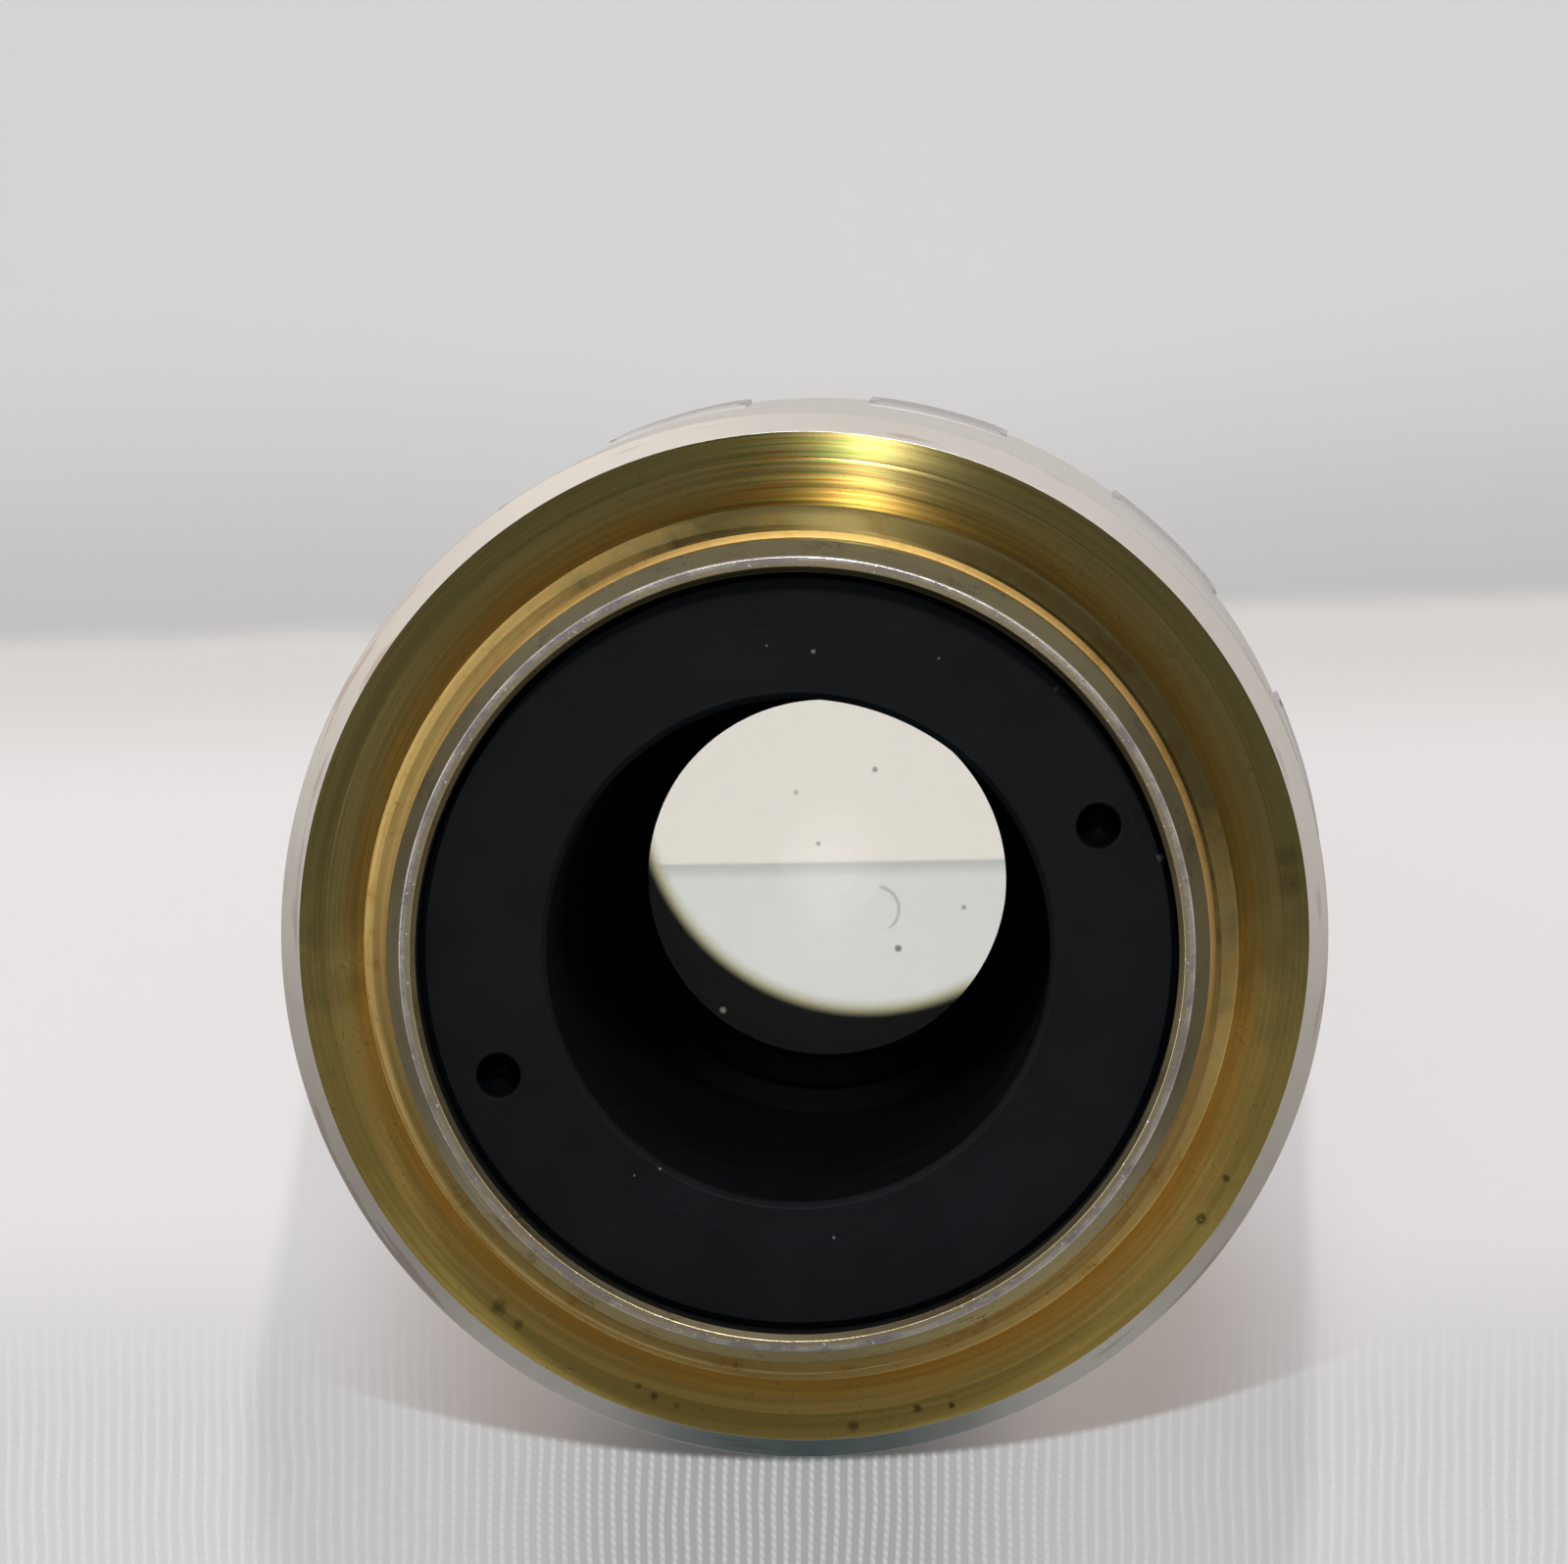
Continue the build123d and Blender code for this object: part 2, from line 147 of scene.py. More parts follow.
def softened(corners: Sequence[Corner], closed: bool) -> tuple[np.ndarray, np.ndarray]:
    """Rounds the edges of a section and divides its faces into strips.

    Args:
        corners: The section's corners in order.
        closed: Whether the last corner leads back to the first.

    Returns:
        The points as radius and height, and the zone of the strip after each point.
    """
    places = np.array([(c.r, c.z) for c in corners])
    points: list[np.ndarray] = []
    zones: list[int] = []
    count = len(corners)
    for k, corner in enumerate(corners):
        here = places[k]
        if corner.soften and (closed or 0 < k < count - 1):
            back, ahead = places[k - 1] - here, places[(k + 1) % count] - here
            back_length, ahead_length = np.linalg.norm(back), np.linalg.norm(ahead)
            back, ahead = back / back_length, ahead / ahead_length
            half_turn = math.acos(float(np.clip(back @ ahead, -1, 1))) / 2
            reach = min(corner.soften / math.tan(half_turn), SHARE_OF_FACE * min(back_length, ahead_length))
            steps = np.linspace(0, 1, ARC_STEPS + 1)[:, None]
            first, last = here + back * reach, here + ahead * reach
            arc = (1 - steps) ** 2 * first + 2 * steps * (1 - steps) * here + steps**2 * last
        else:
            arc = here[None, :]
        points.extend(arc)
        zones.extend([corner.zone] * len(arc))
        if corner.rows > 1:
            following = corners[(k + 1) % count]
            start, end = arc[-1], places[(k + 1) % count]
            trim = following.soften if closed or k + 1 < count - 1 else 0.0
            length = np.linalg.norm(end - start)
            stop = 1 - min(SHARE_OF_FACE, trim / length)
            for share in np.linspace(0, stop, corner.rows + 1)[1:-1]:
                points.append(start + (end - start) * share)
                zones.append(corner.zone)
    return np.array(points), np.array(zones)


Reshape = Callable[[np.ndarray, np.ndarray, np.ndarray], np.ndarray]


class TurnedForm:
    """Makes smooth meshes of revolution, with exact quads and vertex normals."""

    COLUMNS = 256

    def __init__(self, name: str, materials: Sequence[Material]) -> None:
        """Names the piece.

        Args:
            name: The object's name.
            materials: Its materials, in the order of the zones.
        """
        self.name = name
        self.materials = list(materials)

    def ring(
        self, corners: Sequence[Corner], columns: int = COLUMNS, reshape: Reshape | None = None
    ) -> Thing:
        """Makes a closed ring from a section that stays off the axis.

        Args:
            corners: The section.
            columns: How many faces go round.
            reshape: Gives new radii from radii, heights and angles.

        Returns:
            The object.
        """
        points, zones = softened(corners, closed=True)
        angles = np.linspace(0, 2 * math.pi, columns, endpoint=False)
        radii = np.repeat(points[:, :1], columns, axis=1)
        heights = np.repeat(points[:, 1:], columns, axis=1)
        if reshape:
            radii = reshape(radii, heights, angles)
        grid = np.stack([radii * np.cos(angles), radii * np.sin(angles), heights], axis=-1) * MM
        along = np.roll(grid, -1, axis=0) - np.roll(grid, 1, axis=0)
        around = np.roll(grid, -1, axis=1) - np.roll(grid, 1, axis=1)
        rows = len(points)
        index = np.arange(rows * columns).reshape(rows, columns)
        below = np.roll(index, -1, axis=0)
        quads = np.stack([index, below, np.roll(below, -1, axis=1), np.roll(index, -1, axis=1)], axis=-1)
        return self.object_from(grid, quads, np.cross(along, around), np.repeat(zones, columns))

    def solid(self, corners: Sequence[Corner], columns: int = COLUMNS) -> Thing:
        """Makes a closed solid from a section that starts and ends on the axis.

        Args:
            corners: The section, from the top of the axis round to its foot.
            columns: How many faces go round.

        Returns:
            The object.
        """
        points, zones = softened(corners, closed=False)
        inner = points[1:-1]
        angles = np.linspace(0, 2 * math.pi, columns, endpoint=False)
        turn = np.stack([np.cos(angles), np.sin(angles)], axis=-1)
        tangents = points[2:] - points[:-2]
        flat = np.concatenate(
            [inner[:, None, :1] * turn, np.repeat(inner[:, None, 1:], columns, 1)], axis=-1
        )
        facing = np.concatenate(
            [-tangents[:, None, 1:] * turn, np.repeat(tangents[:, None, :1], columns, 1)], axis=-1
        )
        ends = np.array([[0, 0, points[0, 1]], [0, 0, points[-1, 1]]])
        vertices = np.concatenate([flat.reshape(-1, 3), ends]) * MM
        normals = np.concatenate([facing.reshape(-1, 3), [[0, 0, 1], [0, 0, -1]]])
        rows = len(inner)
        index = np.arange(rows * columns).reshape(rows, columns)
        turned = np.roll(index, -1, axis=1)
        faces = np.stack([index[:-1], index[1:], turned[1:], turned[:-1]], axis=-1).reshape(-1, 4).tolist()
        top, foot = rows * columns, rows * columns + 1
        faces += [[top, int(a), int(b)] for a, b in zip(index[0], turned[0])]
        faces += [[int(a), foot, int(b)] for a, b in zip(index[-1], turned[-1])]
        face_zones = np.concatenate(
            [np.repeat(zones[1:rows], columns), np.full(columns, zones[0]), np.full(columns, zones[rows])]
        )
        mesh = bpy.data.meshes.new(self.name)
        mesh.from_pydata(vertices.tolist(), [], faces)
        return self.dressed(mesh, face_zones, normals)

    def object_from(
        self, grid: np.ndarray, quads: np.ndarray, normals: np.ndarray, zones: np.ndarray
    ) -> Thing:
        """Turns arrays of places and quads into an object.

        Args:
            grid: The vertices.
            quads: Four vertex numbers for each face.
            normals: One direction for each vertex, of any length.
            zones: One material number for each face.

        Returns:
            The object.
        """
        quads = quads.reshape(-1, 4)
        mesh = bpy.data.meshes.new(self.name)
        mesh.vertices.add(grid.size // 3)
        mesh.vertices.foreach_set("co", grid.ravel())
        mesh.loops.add(quads.size)
        mesh.loops.foreach_set("vertex_index", quads.ravel())
        mesh.polygons.add(len(quads))
        mesh.polygons.foreach_set("loop_start", np.arange(0, quads.size, 4))
        mesh.update(calc_edges=True)
        return self.dressed(mesh, zones, normals.reshape(-1, 3))

    def dressed(self, mesh: bpy.types.Mesh, zones: np.ndarray, normals: np.ndarray) -> Thing:
        """Gives a mesh its materials and smooth normals, and links it into the scene.

        Args:
            mesh: The mesh.
            zones: One material number for each face.
            normals: One direction for each vertex, of any length.

        Returns:
            The object.
        """
        for material in self.materials:
            mesh.materials.append(material)
        mesh.polygons.foreach_set("material_index", zones.astype(np.int32))
        mesh.polygons.foreach_set("use_smooth", np.ones(len(mesh.polygons), bool))
        unit = normals / np.linalg.norm(normals, axis=1, keepdims=True)
        mesh.normals_split_custom_set_from_vertices(unit.tolist())
        mesh.validate()
        return placed(self.name, mesh)


def applied(piece: Thing) -> None:
    """Puts a piece's modifiers into its mesh for good.

    Args:
        piece: The piece.
    """
    graph = bpy.context.evaluated_depsgraph_get()
    mesh = bpy.data.meshes.new_from_object(piece.evaluated_get(graph))
    piece.modifiers.clear()
    piece.data = mesh


SHARP_ANGLE = math.radians(35)
LEVEL = 0.9999


def carved(piece: Thing, cutters: Sequence[Thing]) -> Thing:
    """Cuts holes or slots into a piece and shades the result cleanly.

    Args:
        piece: The piece to cut.
        cutters: Closed solids, which are used up.

    Returns:
        The same piece.
    """
    custom = piece.data.attributes.get("custom_normal")
    if custom:
        piece.data.attributes.remove(custom)
    for cutter in cutters:
        cut = piece.modifiers.new("cut", "BOOLEAN")
        cut.object = cutter
        cut.solver = "EXACT"
    applied(piece)
    for cutter in cutters:
        bpy.data.objects.remove(cutter)
    mesh = piece.data
    mesh.set_sharp_from_angle(angle=SHARP_ANGLE)
    normals = [corner.vector.copy() for corner in mesh.corner_normals]
    for face in mesh.polygons:
        if abs(face.normal.z) > LEVEL:
            for loop in face.loop_indices:
                normals[loop] = face.normal.copy()
    mesh.normals_split_custom_set(normals)
    return piece


def box_cutter(size: Vector, centre: Vector) -> Thing:
    """Makes a box that cuts a slot.

    Args:
        size: Its length along each axis.
        centre: The middle of the box.

    Returns:
        The cutter.
    """
    shell = bmesh.new()
    bmesh.ops.create_cube(shell, size=1, matrix=Matrix.Diagonal((*size, 1)))
    bmesh.ops.translate(shell, verts=shell.verts, vec=centre)
    bmesh.ops.scale(shell, verts=shell.verts, vec=(MM, MM, MM))
    mesh = bpy.data.meshes.new("slot_cutter")
    shell.to_mesh(mesh)
    shell.free()
    return placed("slot_cutter", mesh)


def moved(piece: Thing, matrix: Matrix) -> Thing:
    """Moves a piece's own mesh, so that the object stays at the origin.

    Args:
        piece: The piece.
        matrix: The motion, in metres.

    Returns:
        The same piece.
    """
    piece.data.transform(matrix)
    return piece


def about_axis(angle: float) -> Matrix:
    """The turn about the optical axis by an angle in degrees."""
    return Matrix.Rotation(math.radians(angle), 4, "Z")


def joined(name: str, parts: Sequence[Thing]) -> Thing:
    """Makes one piece of several that share their materials.

    Args:
        name: The new piece's name.
        parts: The pieces, which are used up.

    Returns:
        The new piece.
    """
    with bpy.context.temp_override(active_object=parts[0], selected_editable_objects=list(parts)):
        bpy.ops.object.join()
    parts[0].name = name
    parts[0].data.name = name
    return parts[0]


def finished(piece: Thing, nodes: Sequence[str]) -> Thing:
    """Fixes a piece to the body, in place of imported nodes, and reports it.

    Args:
        piece: The piece.
        nodes: The nodes that it stands for.

    Returns:
        The same piece.
    """
    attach(piece, BODY)
    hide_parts(*nodes)
    log.info("%s: %d faces, stands for %s", piece.name, len(piece.data.polygons), ", ".join(nodes))
    return piece


# Finishes


@dataclass(frozen=True)
class Cloud:
    """Noise: features in a millimetre, how many finer layers it has, and how strong they are."""

    scale: float
    detail: float = 2.0
    rough: float = 0.5


@dataclass(frozen=True)
class Ramp:
    """A smooth change from start to end, as an input passes from low to high.

    Where low is the larger of the two, the change comes as the input falls.
    """

    low: float
    high: float
    start: float = 0.0
    end: float = 1.0

    @classmethod
    def about(cls, middle: float, half: float, end: float = 1.0) -> Self:
        """A change from 0 to end across a middle, as the input rises, or falls if half is negative."""
        return cls(middle - half, middle + half, 0.0, end)

    def scaled(self, by: float) -> Self:
        """The same change over a range that many times as large."""
        return replace(self, low=self.low * by, high=self.high * by)

    def to(self, end: float) -> Self:
        """The same change with another end."""
        return replace(self, end=end)


@dataclass(frozen=True)
class Stain:
    """A mark on a flat turned face.

    angle is counter-clockwise from +X in degrees. A hollow stain is a ring with a clean middle. The
    ramps and ragged, how far the outline wanders, are shares of the size.
    """

    radius: float
    angle: float
    size: float
    strength: float = 0.8
    hollow: bool = False
    outline: Ramp = Ramp(1.1, 0.3)
    middle: Ramp = Ramp(0.2, 0.5, 0.35, 1.0)
    ragged: float = 1.3


class Turned(NamedTuple):
    """A place as a turned object has it: distance from the axis, height, and direction as X and Y."""

    radius: Socket
    height: Socket
    east: Socket
    north: Socket


class Graph:
    """Builds the nodes of one material or of the sky.

    MIDDLE is the value that noise lies about. NEAR_AXIS keeps a division off zero. HEIGHT_SHARE joins
    the tool marks of a wall to those of a face. QUARTER_TURN sets highlights across the marks.
    """

    MIDDLE = 0.5
    NEAR_AXIS = 0.01
    HEIGHT_SHARE = 1.37
    QUARTER_TURN = 0.25

    def __init__(self, owner: Material | bpy.types.World) -> None:
        """Empties the owner's tree.

        Args:
            owner: The material or the world.
        """
        self.owner = owner
        owner.use_nodes = True
        self.tree = owner.node_tree
        self.tree.nodes.clear()

    @classmethod
    def of_material(cls, name: str) -> Self:
        """Starts a new material of that name."""
        return cls(bpy.data.materials.new(name))

    def feed(self, socket: Socket, value: Value | None) -> None:
        """Links a socket or sets its value.

        Args:
            socket: The input.
            value: Another socket, a number, a colour or nothing.
        """
        if isinstance(value, bpy.types.NodeSocket):
            self.tree.links.new(value, socket)
        elif isinstance(value, tuple) and socket.type == "RGBA":
            socket.default_value = (*value[:3], 1.0)
        elif value is not None:
            socket.default_value = value

    def add(self, kind: str, *values: Value | None, out: int = 0, **settings: object) -> Socket:
        """Adds a node, with its inputs given in their order.

        Args:
            kind: The node's type without its prefix.
            values: What goes into its inputs.
            out: Which output is wanted.
            settings: The node's own options.

        Returns:
            The output.
        """
        node = self.tree.nodes.new("ShaderNode" + kind)
        for key, value in settings.items():
            setattr(node, key, value)
        for socket, value in zip(node.inputs, values):
            self.feed(socket, value)
        return node.outputs[out]

    def math(self, operation: str, a: Value, b: Value | None = None, clamp: bool = False) -> Socket:
        """One step of arithmetic.

        Args:
            operation: Its name, such as POWER.
            a: The first number.
            b: The second number, if it takes one.
            clamp: Whether the result is kept from 0 to 1.

        Returns:
            The result.
        """
        return self.add("Math", a, b, operation=operation, use_clamp=clamp)

    def plus(self, a: Value, b: Value) -> Socket:
        """The sum of two numbers."""
        return self.math("ADD", a, b)

    def minus(self, a: Value, b: Value) -> Socket:
        """The first number less the second."""
        return self.math("SUBTRACT", a, b)

    def times(self, first: Value, *others: Value) -> Socket:
        """The product of two or more numbers.

        Args:
            first: The first number.
            others: The other numbers.

        Returns:
            The product.
        """
        product = first
        for other in others:
            product = self.math("MULTIPLY", product, other)
        return product

    def size_of(self, a: Value) -> Socket:
        """A number without its sign."""
        return self.math("ABSOLUTE", a)

    def mix(self, share: Value, a: Value, b: Value, blend: str = "MIX") -> Socket:
        """Lays one colour over another.

        Args:
            share: How much of the second colour.
            a: The first colour.
            b: The second colour.
            blend: How they are blended.

        Returns:
            The colour.
        """
        node = self.tree.nodes.new("ShaderNodeMix")
        node.data_type = "RGBA"
        node.blend_type = blend
        for socket, value in ((node.inputs[0], share), (node.inputs[6], a), (node.inputs[7], b)):
            self.feed(socket, value)
        return node.outputs[2]

    def tint(self, share: Value, a: Value, b: Value) -> Socket:
        """Multiplies one colour by a share of another."""
        return self.mix(share, a, b, "MULTIPLY")

    def step(self, value: Value, ramp: Ramp) -> Socket:
        """Turns an input into a smooth change."""
        limits = (ramp.low, ramp.high, ramp.start, ramp.end)
        return self.add("MapRange", value, *limits, interpolation_type="SMOOTHSTEP")

    def noise(self, vector: Socket, cloud: Cloud) -> Socket:
        """Cloudy noise about 0.5, at a place in millimetres."""
        return self.add("TexNoise", vector, None, cloud.scale, cloud.detail, cloud.rough)

    def sway(self, noise: Socket, amount: float) -> Socket:
        """Noise moved down to lie about 0, times an amount."""
        return self.times(self.minus(noise, self.MIDDLE), amount)

    def place(self) -> Socket:
        """The place on the object, in millimetres."""
        where = self.add("TexCoord", out=3)
        return self.add("VectorMath", where, (1 / MM,) * 3, operation="MULTIPLY")

    def parts_of(self, vector: Socket) -> tuple[Socket, Socket, Socket]:
        """Splits a vector into its three numbers."""
        x = self.add("SeparateXYZ", vector)
        return x, x.node.outputs[1], x.node.outputs[2]

    def distance(self, place: Socket, point: tuple[float, float]) -> Socket:
        """Level distance of a place from a point given by X and Y, in millimetres."""
        flat = self.add("VectorMath", place, (1.0, 1.0, 0.0), operation="MULTIPLY")
        return self.add("VectorMath", flat, (*point, 0.0), operation="DISTANCE", out=1)

    def polar(self, place: Socket) -> Turned:
        """Reads a place as a turned object does.

        Args:
            place: The place, in millimetres.

        Returns:
            Its parts.
        """
        x, y, z = self.parts_of(place)
        radius = self.math("SQRT", self.plus(self.times(x, x), self.times(y, y)))
        safe = self.math("MAXIMUM", radius, self.NEAR_AXIS)
        return Turned(radius, z, self.math("DIVIDE", x, safe), self.math("DIVIDE", y, safe))

    def strokes(self, turned: Turned, scale: float, spread: float = 1.6) -> Socket:
        """Marks of the turning tool: fine rings that come and go round the piece.

        Args:
            turned: What polar() gives.
            scale: Marks in a millimetre across the rings.
            spread: How often a mark breaks off on its way round.

        Returns:
            A value about 0.5.
        """
        across = self.times(self.plus(turned.radius, self.times(turned.height, self.HEIGHT_SHARE)), scale)
        around = (self.times(turned.east, spread), self.times(turned.north, spread))
        return self.noise(self.add("CombineXYZ", *around, across), Cloud(1.0, 1.0, 0.6))

    def spot(self, place: Socket, noise: Socket, stain: Stain) -> Socket:
        """Where one stain lies.

        Args:
            place: The place on the object.
            noise: Noise that roughens the outline.
            stain: The stain.

        Returns:
            The strength of the stain there.
        """
        turn, size = math.radians(stain.angle), stain.size
        away = self.distance(place, (stain.radius * math.cos(turn), stain.radius * math.sin(turn)))
        away = self.plus(away, self.sway(noise, stain.ragged * size))
        mask = self.step(away, stain.outline.scaled(size).to(stain.strength))
        if stain.hollow:
            mask = self.times(mask, self.step(away, stain.middle.scaled(size)))
        return mask

    def bump(self, height: Socket, distance: float) -> Socket:
        """Small relief for the light.

        Args:
            height: The relief, from 0 to 1.
            distance: Its depth in millimetres.

        Returns:
            The normal.
        """
        node = self.tree.nodes.new("ShaderNodeBump")
        node.inputs["Distance"].default_value = distance * MM
        self.feed(node.inputs["Height"], height)
        return node.outputs[0]

    def surface(self, **inputs: Value) -> Material:
        """Closes the tree with the main shader.

        Args:
            inputs: Its inputs, with spaces written as low lines.

        Returns:
            The material.
        """
        shader = self.tree.nodes.new("ShaderNodeBsdfPrincipled")
        for key, value in inputs.items():
            self.feed(shader.inputs[key.replace("_", " ")], value)
        return self.closed(shader.outputs[0])

    def turned_metal(self, colour: Socket, rough: Socket, relief: Socket, stretch: float) -> Material:
        """Closes the tree as metal whose highlights stretch across its turning lines.

        Args:
            colour: The metal's colour.
            rough: Its roughness.
            relief: Its normal.
            stretch: How far the highlights stretch, from 0 to 1.

        Returns:
            The material.
        """
        return self.surface(
            Base_Color=colour,
            Metallic=1.0,
            Roughness=rough,
            Normal=relief,
            Anisotropic=stretch,
            Anisotropic_Rotation=self.QUARTER_TURN,
            Tangent=self.add("Tangent", direction_type="RADIAL", axis="Z"),
        )

    def closed(self, shader: Socket, kind: str = "OutputMaterial") -> Material | bpy.types.World:
        """Sends a shader to the output.

        Args:
            shader: The last shader.
            kind: The output's type without its prefix.

        Returns:
            The owner of the tree.
        """
        output = self.tree.nodes.new("ShaderNode" + kind)
        self.tree.links.new(shader, output.inputs[0])
        return self.owner


class Finish(ABC):
    """A finish that makes its material once and then hands it out."""

    name: str

    @abstractmethod
    def make(self) -> Material:
        """Builds the material."""

    def material(self) -> Material:
        """The material, built at its first use."""
        return bpy.data.materials.get(self.name) or self.make()


@dataclass(frozen=True)
class TurnedBrass(Finish):
    """Bare brass, turned on a lathe and tarnished with age.

    Towards one direction from the axis, the painted light side, the brass is painted palest and made
    dullest; away from it the brass is darker, as painted shade mixed with tarnished patches. bright_range
    says how far over to that side it is full and where it begins. Inside warm_radius the tarnished brass
    turns orange, and outside edge_radius it turns dark. On the side away from the painted light, green
    and orange tints along the turning lines are a painted highlight, where the lamp's streak falls. A
    wander is how far the patches shift a border, in the border's own measure.
    """

    name: str
    bright: Colour
    tarnished: Colour
    warm: Colour
    # The side of painted light: the brass is painted paler and made duller towards it, and painted darker
    # away from it.
    painted_light_side: tuple[float, float] = (0.0, -1.0)
    bright_range: Ramp = Ramp(0.7, -0.2)
    bright_wander: float = 0.5
    roughness: float = 0.2
    dull_roughness: float = 0.6
    patches: Cloud = Cloud(1.1, 3.0, 0.62)
    grains: Cloud = Cloud(9.0, 2.0, 0.7)
    warm_radius: float = 0.0
    warm_border: float = 0.4
    warm_wander: float = 0.7
    warm_share: float = 0.9
    warm_patches: Ramp = Ramp(0.5, 0.68, 0.0, 0.7)
    edge_radius: float = 0.0
    edge_border: float = 0.02
    edge_wander: float = 0.12
    edge_tint: Colour = (0.82, 0.86, 0.84)
    line_scale: float = 10.0
    line_depth: float = 0.002
    line_share: Ramp = Ramp(0.36, 0.62, 0.4, 0.0)
    line_tint: Colour = (0.66, 0.62, 0.54)
    line_roughness: float = 0.2
    stretch: float = 1.0
    # Painted highlight: how strongly green and orange tints are painted where the lamp's streak falls.
    sheen: float = 0.0
    sheen_side: Ramp = Ramp(-0.97, -1.0, 0.08)
    sheen_scale: float = 1.6
    sheen_spread: float = 5.0
    sheen_green: Ramp = Ramp(0.5, 0.36)
    sheen_orange: Ramp = Ramp(0.52, 0.66)
    green: Colour = (0.7, 1.0, 0.65)
    orange: Colour = (1.1, 0.74, 0.4)
    specks: float = 0.3
    speck_floor: float = 0.45
    speck_range: Ramp = Ramp(0.6, 0.72)
    speck_colour: Colour = (0.03, 0.022, 0.012)
    stains: tuple[Stain, ...] = ()
    stain_colour: Colour = (0.05, 0.032, 0.018)
    stain_roughness: float = 0.2

    def shade_and_tarnish(self, g: Graph, turned: Turned, side: Socket, patch: Socket) -> tuple[Socket, Socket]:
        """The colour of the tarnished patches and of the painted light and shade, without lines and specks.

        Args:
            g: The material's graph.
            turned: The place on the object.
            side: How far over to the painted light side the place is.
            patch: The noise of the patches.

        Returns:
            The colour, and how far the brass is tarnished and in painted shade.
        """
        shade_and_tarnish = g.step(g.plus(side, g.sway(patch, self.bright_wander)), self.bright_range)
        colour = g.mix(shade_and_tarnish, self.bright, self.tarnished)
        if self.warm_radius:
            inside = g.plus(turned.radius, g.sway(patch, self.warm_wander))
            border = Ramp.about(self.warm_radius, -self.warm_border, self.warm_share)
            colour = g.tint(g.step(inside, border), colour, self.warm)
        else:
            colour = g.tint(g.step(patch, self.warm_patches), colour, self.warm)
        if self.edge_radius:
            outside = g.plus(turned.radius, g.sway(patch, self.edge_wander))
            border = Ramp.about(self.edge_radius, self.edge_border)
            colour = g.tint(g.step(outside, border), colour, self.edge_tint)
        return colour, shade_and_tarnish

    def with_painted_sheen(self, g: Graph, colour: Socket, turned: Turned, side: Socket) -> Socket:
        """A painted highlight: green and orange tints along the turning lines, on the side where the lamp's
        streak falls.

        Args:
            g: The material's graph.
            colour: The colour so far.
            turned: The place on the object.
            side: How far over to the painted light side the place is.

        Returns:
            The colour.
        """
        tone = g.strokes(turned, self.line_scale * self.sheen_scale, self.sheen_spread)
        near = g.step(side, self.sheen_side.to(self.sheen))
        for ramp, tint in ((self.sheen_green, self.green), (self.sheen_orange, self.orange)):
            colour = g.tint(g.times(g.step(tone, ramp), near), colour, tint)
        return colour

    def make(self) -> Material:
        """Builds the material.

        Returns:
            The material.
        """
        g = Graph.of_material(self.name)
        place = g.place()
        turned = g.polar(place)
        patch = g.noise(place, self.patches)
        # Painted light and shade: paler towards one side and darker away from it, mixed with tarnished
        # patches.
        east, north = self.painted_light_side
        side = g.plus(g.times(turned.east, east), g.times(turned.north, north))
        colour, shade_and_tarnish = self.shade_and_tarnish(g, turned, side, patch)
        fine = g.strokes(turned, self.line_scale)
        colour = g.tint(g.step(fine, self.line_share), colour, self.line_tint)
        if self.sheen:
            colour = self.with_painted_sheen(g, colour, turned, side)
        grain = g.noise(place, self.grains)
        speck = g.times(grain, g.plus(patch, self.speck_floor))
        colour = g.mix(g.step(speck, self.speck_range.to(self.specks)), colour, self.speck_colour)
        rough = g.step(shade_and_tarnish, Ramp(0.0, 1.0, self.dull_roughness, self.roughness))
        for stain in self.stains:
            mask = g.spot(place, grain, stain)
            colour = g.mix(mask, colour, self.stain_colour)
            rough = g.plus(rough, g.times(mask, self.stain_roughness))
        rough = g.plus(rough, g.sway(fine, self.line_roughness))
        return g.turned_metal(colour, rough, g.bump(fine, self.line_depth), self.stretch)


@dataclass(frozen=True)
class SatinPlate(Finish):
    """Satin nickel and chrome plate over turned metal."""

    name: str = "satin_plate"
    colour: Colour = (0.74, 0.7, 0.65)
    line_colour: Colour = (0.5, 0.38, 0.36)
    line_scale: float = 13.0
    line_spread: float = 4.0
    line_depth: float = 0.0022
    line_share: float = 0.6
    line_range: Ramp = Ramp(0.4, 0.28)
    clouds: Cloud = Cloud(0.6, 2.0, 0.6)
    cloud_share: Ramp = Ramp(0.5, 0.75, 0.0, 0.5)
    cloud_tint: Colour = (0.92, 0.94, 1.0)
    roughness: float = 0.3
    cloud_roughness: float = 0.15
    stretch: float = 0.6

    def make(self) -> Material:
        """Builds the material.

        Returns:
            The material.
        """
        g = Graph.of_material(self.name)
        place = g.place()
        fine = g.strokes(g.polar(place), self.line_scale, self.line_spread)
        cloud = g.noise(place, self.clouds)
        lines = g.step(fine, self.line_range.to(self.line_share))
        colour = g.mix(lines, self.colour, self.line_colour)
        colour = g.tint(g.step(cloud, self.cloud_share), colour, self.cloud_tint)
        rough = g.plus(self.roughness, g.sway(cloud, self.cloud_roughness))
        return g.turned_metal(colour, rough, g.bump(fine, self.line_depth), self.stretch)


